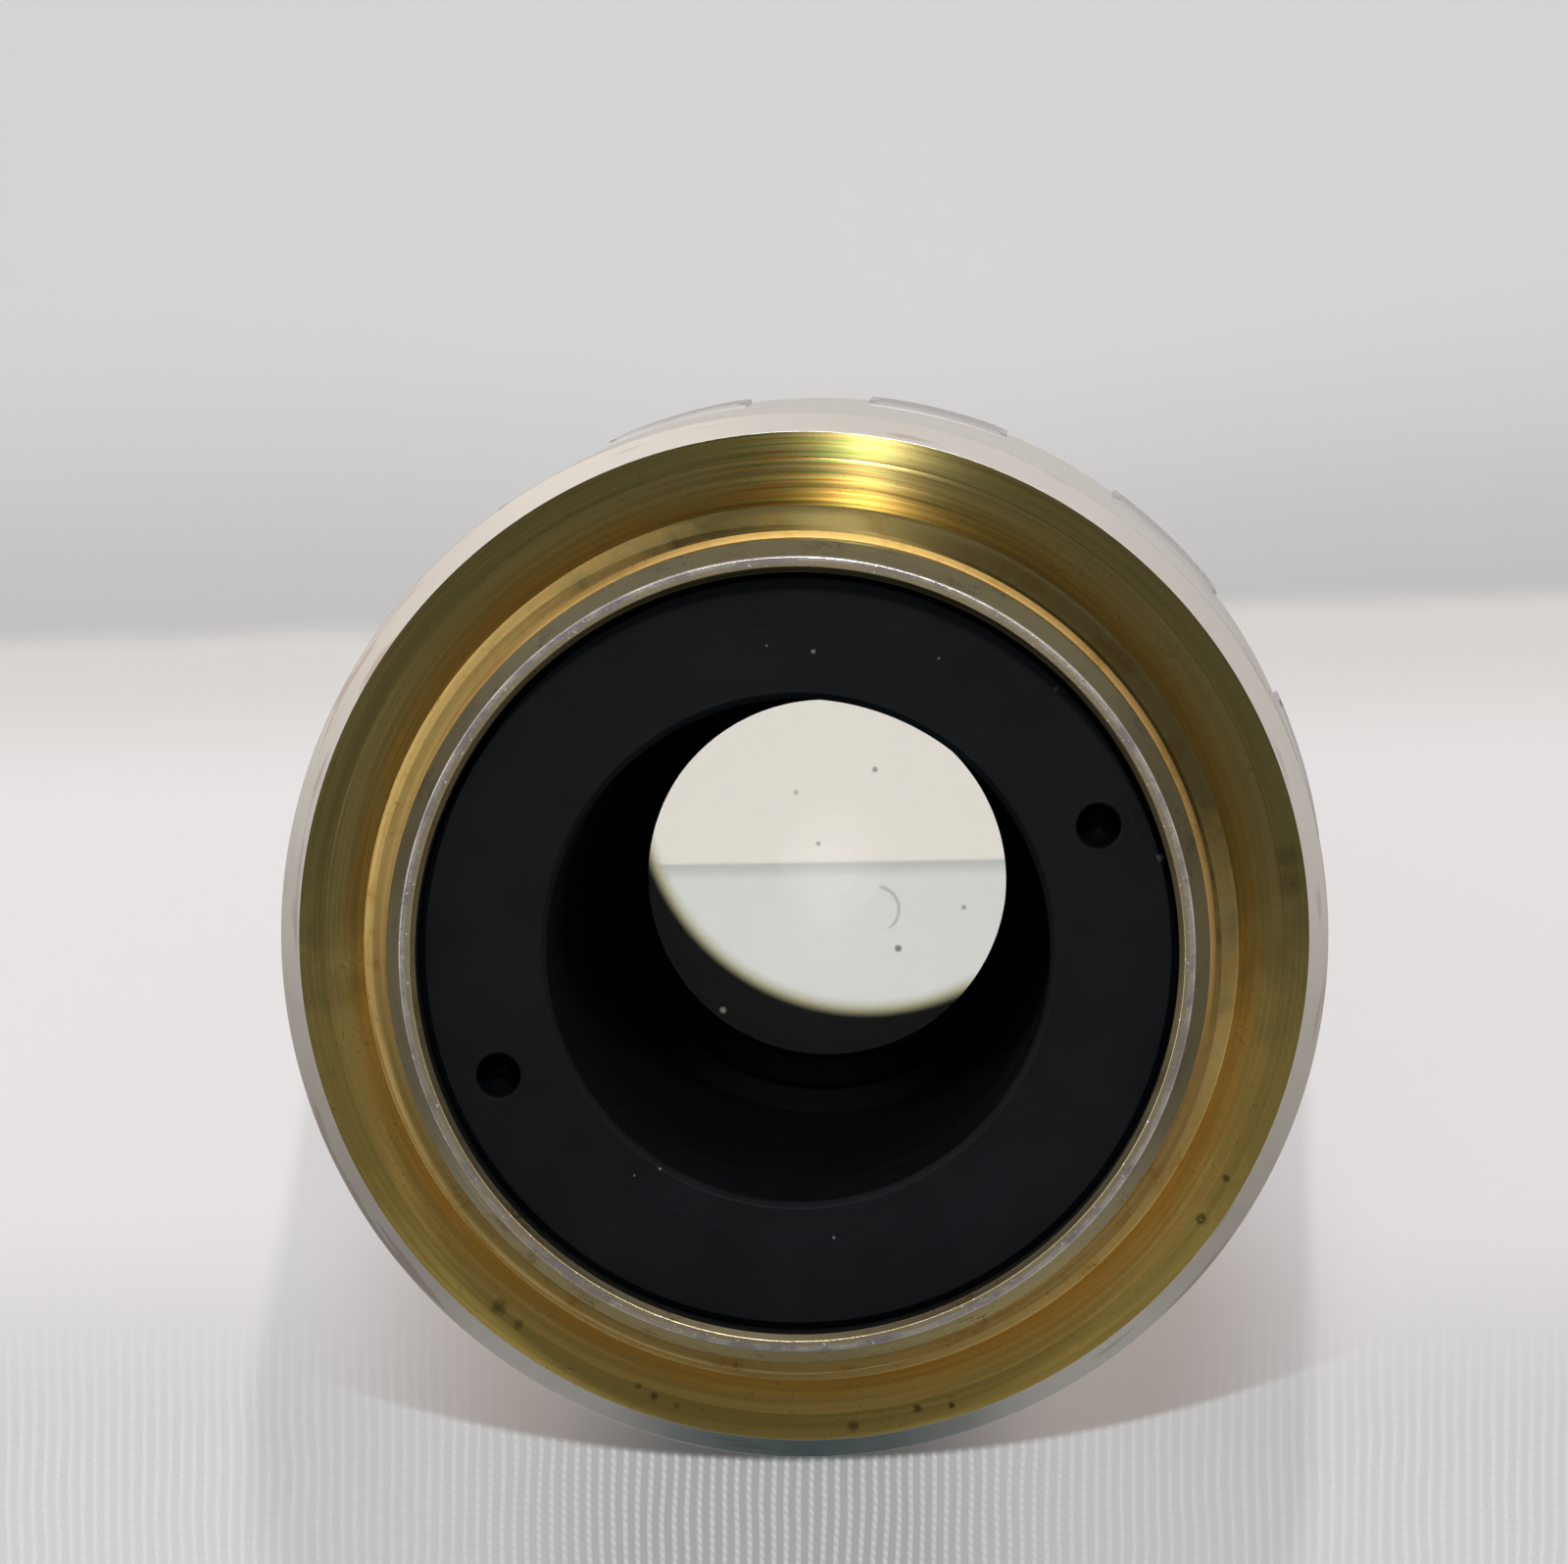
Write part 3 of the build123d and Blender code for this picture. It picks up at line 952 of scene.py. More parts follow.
@dataclass(frozen=True)
class WornRim(Finish):
    """The rim of the pilot, where thin plate is polished by handling.

    Inside bare_r, and along some turning lines, the plate has gone and the brass shows.
    """

    name: str = "worn_rim"
    bright: Colour = (0.66, 0.62, 0.57)
    mauve: Colour = (0.42, 0.38, 0.37)
    bare: Colour = (0.46, 0.37, 0.2)
    glint: Colour = (0.95, 0.95, 0.97)
    patches: Cloud = Cloud(1.3, 3.0, 0.6)
    patch_range: Ramp = Ramp(0.4, 0.62)
    bare_r: float = 9.0
    bare_border: float = 0.03
    bare_wander: float = 0.3
    bare_share: float = 0.8
    line_scale: float = 15.0
    line_spread: float = 1.2
    line_share: Ramp = Ramp(0.5, 0.66, 0.0, 0.5)
    grains: Cloud = Cloud(7.0, 2.0, 0.65)
    grain_share: Ramp = Ramp(0.64, 0.7, 0.0, 0.9)
    grain_depth: float = 0.004
    roughness: float = 0.27

    def make(self) -> Material:
        """Builds the material.

        Returns:
            The material.
        """
        g = Graph.of_material(self.name)
        place = g.place()
        turned = g.polar(place)
        patch = g.noise(place, self.patches)
        grain = g.noise(place, self.grains)
        colour = g.mix(g.step(patch, self.patch_range), self.bright, self.mauve)
        inside = g.plus(turned.radius, g.sway(patch, self.bare_wander))
        border = Ramp.about(self.bare_r, -self.bare_border, self.bare_share)
        colour = g.mix(g.step(inside, border), colour, self.bare)
        fine = g.strokes(turned, self.line_scale, self.line_spread)
        colour = g.mix(g.step(fine, self.line_share), colour, self.bare)
        colour = g.mix(g.step(grain, self.grain_share), colour, self.glint)
        relief = g.bump(grain, self.grain_depth)
        return g.surface(Base_Color=colour, Metallic=1.0, Roughness=self.roughness, Normal=relief)


@dataclass(frozen=True)
class BlackCoat(Finish):
    """Black coat on metal, from satin to dull.

    dust is how far the coat greys along its turning lines, and how strong its motes are. A coat with
    motes also has small ones strewn over it, in one of about ten cells, and strewn is how many cells
    there are in a millimetre.
    """

    name: str
    colour: Colour = (0.003, 0.004, 0.0055)
    roughness: float = 0.42
    dust: float = 0.6
    line_scale: float = 12.0
    line_depth: float = 0.0012
    line_range: Ramp = Ramp(0.6, 0.75)
    line_gain: float = 1.7
    clouds: Cloud = Cloud(0.5, 1.0, 0.6)
    cloud_share: Ramp = Ramp(0.35, 0.7, 0.0, 0.6)
    cloud_gain: float = 1.6
    cloud_roughness: float = 0.15
    mirror: float = 0.12
    motes: tuple[Stain, ...] = ()
    mote_colour: Colour = (0.22, 0.23, 0.24)
    mote_grains: Cloud = Cloud(26.0, 1.0, 0.6)
    strewn: float = 1.6
    strewn_size: Ramp = Ramp(0.05, 0.02)
    strewn_chance: Ramp = Ramp(0.88, 0.92, 0.0, 0.7)

    def with_motes(self, g: Graph, place: Socket, colour: Socket) -> Socket:
        """Strews motes of dust over the coat.

        Args:
            g: The material's graph.
            place: The place on the object.
            colour: The coat's colour.

        Returns:
            The colour.
        """
        grain = g.noise(place, self.mote_grains)
        cells = g.add("TexVoronoi", place, None, self.strewn)
        chance = g.parts_of(cells.node.outputs[1])[0]
        speck = g.times(g.step(cells, self.strewn_size), g.step(chance, self.strewn_chance))
        for mote in self.motes:
            speck = g.math("MAXIMUM", speck, g.spot(place, grain, mote))
        return g.mix(g.math("MULTIPLY", speck, self.dust, clamp=True), colour, self.mote_colour)

    def make(self) -> Material:
        """Builds the material.

        Returns:
            The material.
        """
        g = Graph.of_material(self.name)
        place = g.place()
        fine = g.strokes(g.polar(place), self.line_scale)
        cloud = g.noise(place, self.clouds)
        pale = tuple(self.cloud_gain * c for c in self.colour)
        lined = tuple(self.line_gain * c for c in self.colour)
        colour = g.mix(g.step(cloud, self.cloud_share), self.colour, pale)
        colour = g.mix(g.step(fine, self.line_range.to(self.dust)), colour, lined)
        if self.motes:
            colour = self.with_motes(g, place, colour)
        return g.surface(
            Base_Color=colour,
            Metallic=0.0,
            Roughness=g.plus(self.roughness, g.sway(cloud, self.cloud_roughness)),
            Normal=g.bump(fine, self.line_depth),
            Specular_IOR_Level=self.mirror,
        )


@dataclass(frozen=True)
class LensGlass(Finish):
    """Polished optical glass, coated so that it mirrors little."""

    name: str
    index: float
    slot: str
    tint: Colour = (0.998, 0.998, 0.99)
    smear_tint: Colour = (0.97, 0.975, 0.97)
    smears: Cloud = Cloud(0.7, 1.0, 0.7)
    smear_share: Ramp = Ramp(0.5, 0.8, 0.0, 0.4)
    mirror: float = 0.02

    def make(self) -> Material:
        """Builds the material.

        Returns:
            The material.
        """
        g = Graph.of_material(self.name)
        smear = g.step(g.noise(g.place(), self.smears), self.smear_share)
        return g.surface(
            Base_Color=g.mix(smear, self.tint, self.smear_tint),
            Roughness=0.0,
            IOR=self.index,
            Transmission_Weight=1.0,
            Specular_IOR_Level=self.mirror,
        )


@dataclass(frozen=True)
class BluedSteel(Finish):
    """Small hardened screws with a dark oil blue."""

    name: str = "blued_steel"
    blue: Colour = (0.10, 0.11, 0.14)
    brown: Colour = (0.2, 0.17, 0.15)
    clouds: Cloud = Cloud(3.0, 3.0, 0.6)
    cloud_range: Ramp = Ramp(0.4, 0.7)
    grains: Cloud = Cloud(20.0, 2.0, 0.6)
    grain_depth: float = 0.003
    roughness: float = 0.35

    def make(self) -> Material:
        """Builds the material.

        Returns:
            The material.
        """
        g = Graph.of_material(self.name)
        place = g.place()
        colour = g.mix(g.step(g.noise(place, self.clouds), self.cloud_range), self.blue, self.brown)
        relief = g.bump(g.noise(place, self.grains), self.grain_depth)
        return g.surface(Base_Color=colour, Metallic=1.0, Roughness=self.roughness, Normal=relief)


@dataclass(frozen=True)
class PaintedLensView:
    """What the lenses show of the ground: a warm half above a line, and a cool half below it.

    This is a painted view, which glows on the ground for rays that come through the lenses: the warm
    and cool halves stand for the cloth and the wall beyond the nose, upside down, with a painted
    darker band below the line. A dark rim with a yellow fringe closes it round rim_place, as painted
    shade at the edge of the field. A hair, a curl of part of a circle, and motes of dust lie on it, as
    dust on the lenses painted into the view. Each mote has its place, size and strength, and one pale
    mote lies on the dark rim. Places are on the floor, in millimetres from the axis.
    """

    upper: Colour = (0.86, 0.82, 0.77)
    lower: Colour = (0.74, 0.75, 0.735)
    line: Colour = (0.56, 0.56, 0.55)
    line_drop: float = 0.322
    line_slope: float = 0.017
    line_fade: Ramp = Ramp(-0.28, -0.02)
    line_edge: Ramp = Ramp(-0.03, 0.03)
    rim: Colour = (0.0008, 0.0012, 0.001)
    rim_place: tuple[float, float] = (0.425, 0.965)
    rim_r: float = 3.566
    rim_border: tuple[float, float] = (-0.12, 0.06)
    fringe: Colour = (0.42, 0.39, 0.25)
    fringe_border: tuple[float, float] = (-0.26, -0.03)
    hair: Colour = (0.2, 0.2, 0.19)
    hair_place: tuple[float, float] = (0.508, -1.017)
    hair_r: float = 0.335
    hair_end: float = -1.24
    hair_fade: float = 0.1
    hair_width: Ramp = Ramp(0.04, 0.01)
    hair_share: float = 0.42
    mote: Colour = (0.12, 0.12, 0.11)
    mote_core: float = 0.4
    motes: tuple[tuple[float, float, float, float], ...] = (
        (0.837, -1.594, 0.07, 0.85),
        (0.495, 1.039, 0.06, 0.65),
        (-0.336, -0.056, 0.05, 0.55),
        (-0.258, -2.451, 0.05, 0.65),
        (1.818, -1.0, 0.05, 0.6),
        (-0.669, 0.696, 0.05, 0.45),
    )
    rim_mote: Colour = (0.16, 0.16, 0.15)
    rim_mote_place: tuple[float, float] = (-1.772, -2.552)
    rim_mote_size: Ramp = Ramp(0.07, 0.02)

    def hair_mask(self, g: Graph, place: Socket, x: Socket, y: Socket) -> Socket:
        """Where the hair lies.

        Args:
            g: The material's graph.
            place: The place on the floor.
            x: Its X.
            y: Its Y.

        Returns:
            The strength of the hair there.
        """
        curl = g.size_of(g.minus(g.distance(place, self.hair_place), self.hair_r))
        left, end = self.hair_place[0], self.hair_end
        return g.times(
            g.step(curl, self.hair_width),
            g.step(x, Ramp(left, left + self.hair_fade)),
            g.step(y, Ramp(end - self.hair_fade, end, 0.0, self.hair_share)),
        )

    def colour(self, g: Graph, place: Socket) -> Socket:
        """The colour that the lenses show.

        Args:
            g: The material's graph.
            place: The place on the floor.

        Returns:
            The colour.
        """
        x, y, _ = g.parts_of(place)
        level = g.plus(y, g.minus(self.line_drop, g.times(x, self.line_slope)))
        lower = g.mix(g.step(level, self.line_fade), self.lower, self.line)
        colour = g.mix(g.step(level, self.line_edge), lower, self.upper)
        colour = g.mix(self.hair_mask(g, place, x, y), colour, self.hair)
        for mote_x, mote_y, size, strength in self.motes:
            fade = Ramp(size, size * self.mote_core, 0.0, strength)
            near = g.step(g.distance(place, (mote_x, mote_y)), fade)
            colour = g.mix(near, colour, self.mote)
        away = g.distance(place, self.rim_place)
        for (inner, outer), tone in ((self.fringe_border, self.fringe), (self.rim_border, self.rim)):
            colour = g.mix(g.step(away, Ramp(self.rim_r + inner, self.rim_r + outer)), colour, tone)
        away = g.distance(place, self.rim_mote_place)
        return g.mix(g.step(away, self.rim_mote_size), colour, self.rim_mote)


@dataclass(frozen=True)
class PaleCloth(Finish):
    """The pale ground: a wall towards +Y, and ribbed cloth towards -Y, both with painted shade.

    A painted shadow darkens the cloth inside a large circle round shadow_place. It is darkest near the
    barrel, as a painted shadow where the barrel touches the cloth, and painted shade darkens the cloth
    round contact_place as well. The wall is painted darker towards the horizon, and the cloth near the
    horizon and towards -Y, as painted shade. The lenses show the ground where no lamp reaches, so it
    glows for them with the painted view of the lenses. For what is polished, the ground is painted
    darker towards -Y and dimmer towards +X and -X, as painted reflection shade. lift is the share of
    its own light in what the camera sees. Places and ranges are in millimetres from the axis.
    """

    name: str = "pale_cloth"
    wall_far: Colour = (0.725, 0.728, 0.735)
    # Painted shade: the wall is darker towards the horizon.
    wall_near: Colour = (0.58, 0.58, 0.584)
    wall_range: Ramp = Ramp(4.0, 15.5)
    horizon: float = 6.15
    horizon_slope: float = 0.032
    horizon_border: tuple[float, float] = (-0.35, 0.55)
    horizon_wander: float = 0.2
    cloth: Colour = (0.895, 0.88, 0.885)
    # Painted shade: the cloth is darker near the horizon.
    cloth_far: Colour = (0.775, 0.752, 0.735)
    far_range: Ramp = Ramp(1.4, 5.6)
    # Painted shade: the cloth is darker towards -Y.
    cloth_near: Colour = (0.725, 0.72, 0.722)
    near_range: Ramp = Ramp(-9.0, -16.0)
    # Painted shadow of the barrel on the cloth.
    shadow: Colour = (0.68, 0.61, 0.575)
    shadow_place: tuple[float, float] = (-1.2, 22.65)
    shadow_r: float = 39.0
    shadow_border: float = 0.12
    shadow_sides: Ramp = Ramp(15.0, 8.0)
    shadow_range: Ramp = Ramp(-6.0, -12.5)
    # Painted shadow where the barrel touches the cloth.
    painted_contact_shadow: Colour = (0.4, 0.44, 0.46)
    touch_sides: Ramp = Ramp(7.5, 1.5)
    touch_range: Ramp = Ramp(-13.0, -16.0)
    # Painted shade round contact_place.
    painted_contact_shade: Colour = (0.69, 0.72, 0.725)
    contact_place: tuple[float, float] = (-1.7, -18.5)
    contact_range: Ramp = Ramp(9.5, 2.5)
    rib_colour: Colour = (0.98, 1.0, 1.0)
    rib_pitch: float = 0.33
    rib_form: Ramp = Ramp(-0.2, 1.0)
    rib_wander: float = 0.25
    rib_range: Ramp = Ramp(-11.0, -16.5)
    rib_share: Ramp = Ramp(12.0, 2.0, 0.34, 0.58)
    weave_lean: float = 0.8
    weave_scale: float = 26.0
    weave_form: Ramp = Ramp(-1.0, 1.0, 0.55, 1.0)
    waves: Cloud = Cloud(0.35, 1.0, 0.5)
    # Painted reflection shade: polished faces mirror the ground darker towards -Y and at the sides.
    mirrored: Colour = (0.08, 0.15, 0.17)
    mirrored_spread: float = 2.2
    mirrored_range: Ramp = Ramp(-35.0, -65.0)
    beside: Colour = (0.55, 0.52, 0.48)
    beside_spread: float = 0.75
    beside_range: Ramp = Ramp(12.0, 30.0)
    lift: float = 0.45
    # The painted view that the lenses show, and how strongly the ground glows with it.
    painted_lens_view: PaintedLensView = PaintedLensView()
    painted_lens_glow: float = 1.45

    def ribs(self, g: Graph, x: Socket, y: Socket, wavy: Socket, away: Socket) -> Socket:
        """The ribs of the cloth, crossed by a slanting weave.

        Args:
            g: The material's graph.
            x: The place's X.
            y: The place's Y.
            wavy: Noise that bends the ribs.
            away: Distance from contact_place, round which the ribs stand out more.

        Returns:
            How far the place is up on a rib.
        """
        slack = g.plus(x, g.times(wavy, self.rib_wander))
        ridge = g.math("SINE", g.times(slack, 2 * math.pi / self.rib_pitch))
        weave = g.math("SINE", g.times(g.plus(y, g.times(x, self.weave_lean)), self.weave_scale))
        return g.times(
            g.step(ridge, self.rib_form),
            g.step(weave, self.weave_form),
            g.step(y, self.rib_range),
            g.step(away, self.rib_share),
        )

    def cloth_colour(self, g: Graph, place: Socket, level: Socket, wavy: Socket) -> Socket:
        """The cloth with its shades and ribs.

        Args:
            g: The material's graph.
            place: The place on the floor.
            level: The place's Y, counted along the sloping horizon.
            wavy: Noise that bends the ribs.

        Returns:
            The colour.
        """
        x, y, _ = g.parts_of(place)
        # Painted shade: the cloth is darker near the horizon and towards -Y.
        cloth = g.mix(g.step(level, self.far_range), self.cloth, self.cloth_far)
        cloth = g.mix(g.step(y, self.near_range), cloth, self.cloth_near)
        # Painted shadow inside the circle, darkest where the barrel touches the cloth, and painted shade
        # round contact_place.
        border = Ramp.about(self.shadow_r, -self.shadow_border)
        sides = g.step(g.size_of(x), self.shadow_sides)
        painted_shadow_mask = g.times(g.step(g.distance(place, self.shadow_place), border), sides)
        cloth = g.tint(g.times(painted_shadow_mask, g.step(y, self.shadow_range)), cloth, self.shadow)
        aside = g.size_of(g.minus(x, self.shadow_place[0]))
        painted_touch_mask = g.times(painted_shadow_mask, g.step(aside, self.touch_sides), g.step(y, self.touch_range))
        cloth = g.tint(painted_touch_mask, cloth, self.painted_contact_shadow)
        away = g.distance(place, self.contact_place)
        cloth = g.tint(g.step(away, self.contact_range), cloth, self.painted_contact_shade)
        ridge = g.times(self.ribs(g, x, y, wavy, away), g.minus(1.0, painted_shadow_mask))
        return g.mix(ridge, cloth, self.rib_colour)

    def with_painted_mirror_shade(self, g: Graph, place: Socket, ground: Socket, glossy: Socket) -> Socket:
        """Paints shade into the ground for the rays that mirror it, as painted reflection shade.

        Args:
            g: The material's graph.
            place: The place on the floor.
            ground: The colour of the ground.
            glossy: 1 for a ray that comes from a mirroring face, otherwise 0.

        Returns:
            The colour.
        """
        x, y, _ = g.parts_of(place)
        before = g.plus(y, g.times(g.size_of(x), self.mirrored_spread))
        ground = g.tint(g.times(glossy, g.step(before, self.mirrored_range)), ground, self.mirrored)
        beside = g.minus(g.size_of(x), g.times(g.size_of(y), self.beside_spread))
        return g.tint(g.times(glossy, g.step(beside, self.beside_range)), ground, self.beside)

    def make(self) -> Material:
        """Builds the material.

        Returns:
            The material.
        """
        g = Graph.of_material(self.name)
        place = g.place()
        x, y, _ = g.parts_of(place)
        wavy = g.noise(place, self.waves)
        level = g.minus(y, g.times(x, self.horizon_slope))
        # Painted shade: the wall is darker towards the horizon.
        wall = g.mix(g.step(level, self.wall_range), self.wall_near, self.wall_far)
        cloth = self.cloth_colour(g, place, level, wavy)
        edge = g.plus(level, g.times(wavy, self.horizon_wander))
        border = Ramp(*(self.horizon + shift for shift in self.horizon_border))
        path = g.add("LightPath").node.outputs
        ground = g.mix(g.step(edge, border), cloth, wall)
        ground = self.with_painted_mirror_shade(g, place, ground, path["Is Glossy Ray"])
        lift = g.times(path["Is Camera Ray"], self.lift)
        surface = g.add("MixShader", lift, g.add("BsdfDiffuse", ground), g.add("Emission", ground, 1.0))
        # Painted view: the ground glows with it for rays that come through the lenses.
        glow = g.add("Emission", self.painted_lens_view.colour(g, place), self.painted_lens_glow)
        straight = g.math("LESS_THAN", g.plus(path["Diffuse Depth"], path["Glossy Depth"]), g.MIDDLE)
        through = g.times(path["Is Transmission Ray"], straight)
        return g.closed(g.add("MixShader", through, surface, glow))


# The pieces of the objective


class Zone(IntEnum):
    """The faces of the outer barrel, in the order of its materials."""

    BORE = 0
    MOUTH = 1
    RIM = 2
    PILOT = 3
    THREAD = 4
    SHOULDER = 5
    PLATE = 6
    FILLET = 7


@dataclass
class OuterBarrel:
    """The one-piece body: pilot, mounting thread, shoulder, barrel and spigot.

    The thread and the pilot stand above the shoulder, and the rest lies below it. Thread shares are of
    the pitch, and flank is in degrees from a line square to the axis. groove_angle is where the groove
    runs out at the top of the thread. A fine witness line runs round the shoulder at witness_r.
    """

    node: str = "outer_barrel"
    columns: int = 512
    bore_r: float = 8.76
    mouth_chamfer: float = 0.14
    mouth_depth: float = 0.2
    rim_r: float = 9.12
    rim_lip: float = 0.02
    rim_drop: float = 0.05
    pilot_r: float = 9.48
    pilot_taper_length: float = 0.9
    thread_length: float = 3.2
    thread_chamfer: float = 0.25
    threads_per_inch: float = 36.0
    thread_relief: float = 0.3
    relief_undercut: float = 0.01
    depth_share: float = 0.6403
    rounding_share: float = 0.1373
    flank: float = 27.5
    thread_rows: int = 76
    groove_angle: float = 45.0
    shoulder_r: float = 11.85
    barrel_r: float = 12.3
    barrel_length: float = 18.4
    foot_chamfer: float = 0.6
    tube_bore_r: float = 8.3
    ledge_depth: float = 16.9
    spigot_r: float = 9.4
    neck_bore_r: float = 6.95
    witness_r: float = 11.24
    witness_half: float = 0.03
    witness_depth: float = 0.003
    thread_r: float = field(default_factory=lambda: mount_size("objective_thread", "r_mm"))
    fillet: float = 0.15
    fillet_steps: int = 6
    finishes: tuple[Finish, ...] = (
        BlackCoat("bore_black", (0.006, 0.006, 0.006), roughness=0.6, dust=0.3),
        TurnedBrass("mouth_brass", (0.16, 0.14, 0.085), (0.18, 0.14, 0.08), (0.9, 0.8, 0.6), specks=0.6),
        WornRim(),
        TurnedBrass(
            "pilot_brass",
            (0.7, 0.58, 0.3),
            (0.18, 0.15, 0.055),
            (0.8, 0.72, 0.6),
            # Painted light: the pilot is painted pale only towards -Y.
            bright_range=Ramp(1.1, 0.4),
            specks=0.9,
        ),
        TurnedBrass(
            "thread_brass",
            (0.92, 0.68, 0.26),
            (0.12, 0.095, 0.035),
            (0.9, 0.75, 0.55),
            # Painted reflection: the thread is painted gold except towards +X and +Y, where it is painted
            # dark olive.
            painted_light_side=(-0.5, -0.85),
            bright_range=Ramp(-0.2, -0.8),
            roughness=0.38,
        ),
        TurnedBrass(
            "shoulder_brass",
            (0.96, 0.72, 0.235),
            (0.34, 0.27, 0.1),
            (1.15, 0.88, 0.5),
            warm_radius=10.7,
            edge_radius=11.24,
            # Painted highlight tints where the lamp's streak crosses the shoulder.
            sheen=1.0,
            stains=(
                Stain(11.44, -35.3, 0.16, 0.9, True),
                Stain(11.4, -29.7, 0.12, 0.7),
                Stain(11.42, -76.4, 0.13, 0.7),
                Stain(11.57, -72.5, 0.1, 0.8),
                Stain(11.57, -84.2, 0.17, 0.6),
                Stain(11.28, -110.2, 0.1, 0.5),
                Stain(11.38, -108.0, 0.13, 0.6),
                Stain(11.44, -105.1, 0.1, 0.4),
                Stain(11.5, 9.6, 0.36, 0.3),
                Stain(11.48, 6.4, 0.4, 0.3),
                Stain(11.3, -129.4, 0.24, 0.5),
                Stain(11.34, -126.2, 0.16, 0.45),
            ),
        ),
        SatinPlate(),
        TurnedBrass("fillet_brass", (0.8, 0.55, 0.2), (0.8, 0.55, 0.2), (0.85, 0.8, 0.6), roughness=0.6),
    )

    @property
    def pitch(self) -> float:
        """How far the thread climbs in a turn."""
        return INCH / self.threads_per_inch

    @property
    def thread_depth(self) -> float:
        """Depth of the rounded 55 degree thread form."""
        return self.depth_share * self.pitch

    def hollow(self, r: float, z: float) -> list[Corner]:
        """The concave quarter round between a wall and the face at its foot.

        Args:
            r: The wall's radius.
            z: The face's height.

        Returns:
            The corners from the wall to the face, without the last.
        """
        reach = self.fillet
        turns = [math.pi / 2 * k / self.fillet_steps for k in range(self.fillet_steps)]
        places = [(r + reach * (1 - math.cos(a)), z + reach * (1 - math.sin(a))) for a in turns]
        return [Corner(*place, Zone.FILLET, soften=0) for place in places]

    def mouth_and_pilot(self, top: float) -> list[Corner]:
        """The section from the mouth, over the rim, down to the end of the thread.

        Args:
            top: The height of the rim.

        Returns:
            The corners.
        """
        return [
            Corner(self.bore_r, -self.mouth_depth, Zone.BORE),
            Corner(self.bore_r, top - self.mouth_chamfer, Zone.MOUTH, soften=0.02),
            Corner(self.bore_r + self.mouth_chamfer, top, Zone.RIM, soften=0.035),
            Corner(self.rim_r, top, Zone.RIM, soften=0.04),
            Corner(self.rim_r + self.rim_lip, top - self.rim_drop, Zone.PILOT, soften=0),
            Corner(self.pilot_r, top - self.pilot_taper_length, Zone.PILOT, soften=0.06),
            *self.hollow(self.pilot_r, self.thread_length),
            Corner(self.pilot_r + self.fillet, self.thread_length, Zone.THREAD, rows=3, soften=0),
        ]

    def thread_and_shoulder(self) -> list[Corner]:
        """The section from the thread down to the shoulder's edge.

        Returns:
            The corners.
        """
        r, start = self.thread_r, self.thread_length
        relief_r = r - self.thread_depth - self.relief_undercut
        return [
            Corner(r - self.thread_chamfer, start, Zone.THREAD, rows=4, soften=0.02),
            Corner(r, start - self.thread_chamfer, Zone.THREAD, rows=self.thread_rows, soften=0.02),
            Corner(r, 2 * self.thread_relief, Zone.THREAD, rows=4, soften=0.02),
            Corner(relief_r, self.thread_relief, Zone.THREAD, soften=0.02),
            Corner(relief_r, 0.0, Zone.SHOULDER, soften=0.05),
            Corner(self.witness_r - self.witness_half, 0.0, Zone.SHOULDER, soften=0.01),
            Corner(self.witness_r, -self.witness_depth, Zone.SHOULDER, soften=0.01),
            Corner(self.witness_r + self.witness_half, 0.0, Zone.SHOULDER, soften=0.01),
            Corner(self.shoulder_r, 0.0, Zone.PLATE, soften=0.015),
        ]

    def section(self) -> list[Corner]:
        """The half section of the body.

        Returns:
            The corners.
        """
        span = span_of(self.node)
        foot = -self.barrel_length
        rim_chamfer = self.barrel_r - self.shoulder_r
        return [
            Corner(self.tube_bore_r, -self.ledge_depth, Zone.BORE),
            Corner(self.tube_bore_r, -self.mouth_depth, Zone.BORE),
            *self.mouth_and_pilot(span.top),
            *self.thread_and_shoulder(),
            Corner(self.barrel_r, -rim_chamfer, Zone.PLATE, soften=0.05),
            Corner(self.barrel_r, foot + self.foot_chamfer, Zone.PLATE, soften=0.05),
            Corner(self.barrel_r - self.foot_chamfer, foot, Zone.PLATE, soften=0.03),
            Corner(self.spigot_r, foot, Zone.PLATE),
            Corner(self.spigot_r, span.bottom, Zone.PLATE),
            Corner(self.neck_bore_r, span.bottom, Zone.BORE),
            Corner(self.neck_bore_r, -self.ledge_depth, Zone.BORE),
        ]

    def cut_thread(self, radii: np.ndarray, heights: np.ndarray, angles: np.ndarray) -> np.ndarray:
        """Cuts the right-hand thread, with round crests and roots.

        Args:
            radii: The radius of each vertex.
            heights: The height of each vertex.
            angles: The angle of each column.

        Returns:
            The new radii.
        """
        half = self.pitch / 2
        rounding = self.rounding_share * self.pitch
        flank = math.radians(self.flank)
        groove = self.thread_length / self.pitch - math.radians(self.groove_angle) / (2 * math.pi)
        phase = heights / self.pitch - angles / (2 * math.pi) - groove
        from_root = np.abs(phase - np.round(phase)) * self.pitch
        from_end = np.minimum(from_root, half - from_root)
        bend = rounding * math.cos(flank)
        rounded = rounding - np.sqrt(np.maximum(rounding**2 - np.minimum(from_end, bend) ** 2, 0))
        climb = rounded + np.maximum(from_end - bend, 0) / math.tan(flank)
        height = np.where(from_root <= half / 2, climb, self.thread_depth - climb)
        limit = self.thread_r - self.thread_depth + height
        threaded = (heights > self.thread_relief) & (heights <= self.thread_length + TOUCH)
        return np.where(threaded & (radii > self.pilot_r), np.minimum(radii, limit), radii)

    def build(self) -> Thing:
        """Makes the body.

        Returns:
            The object.
        """
        form = TurnedForm("outer_barrel_body", [f.material() for f in self.finishes])
        body = form.ring(self.section(), self.columns, self.cut_thread)
        return finished(body, [self.node])


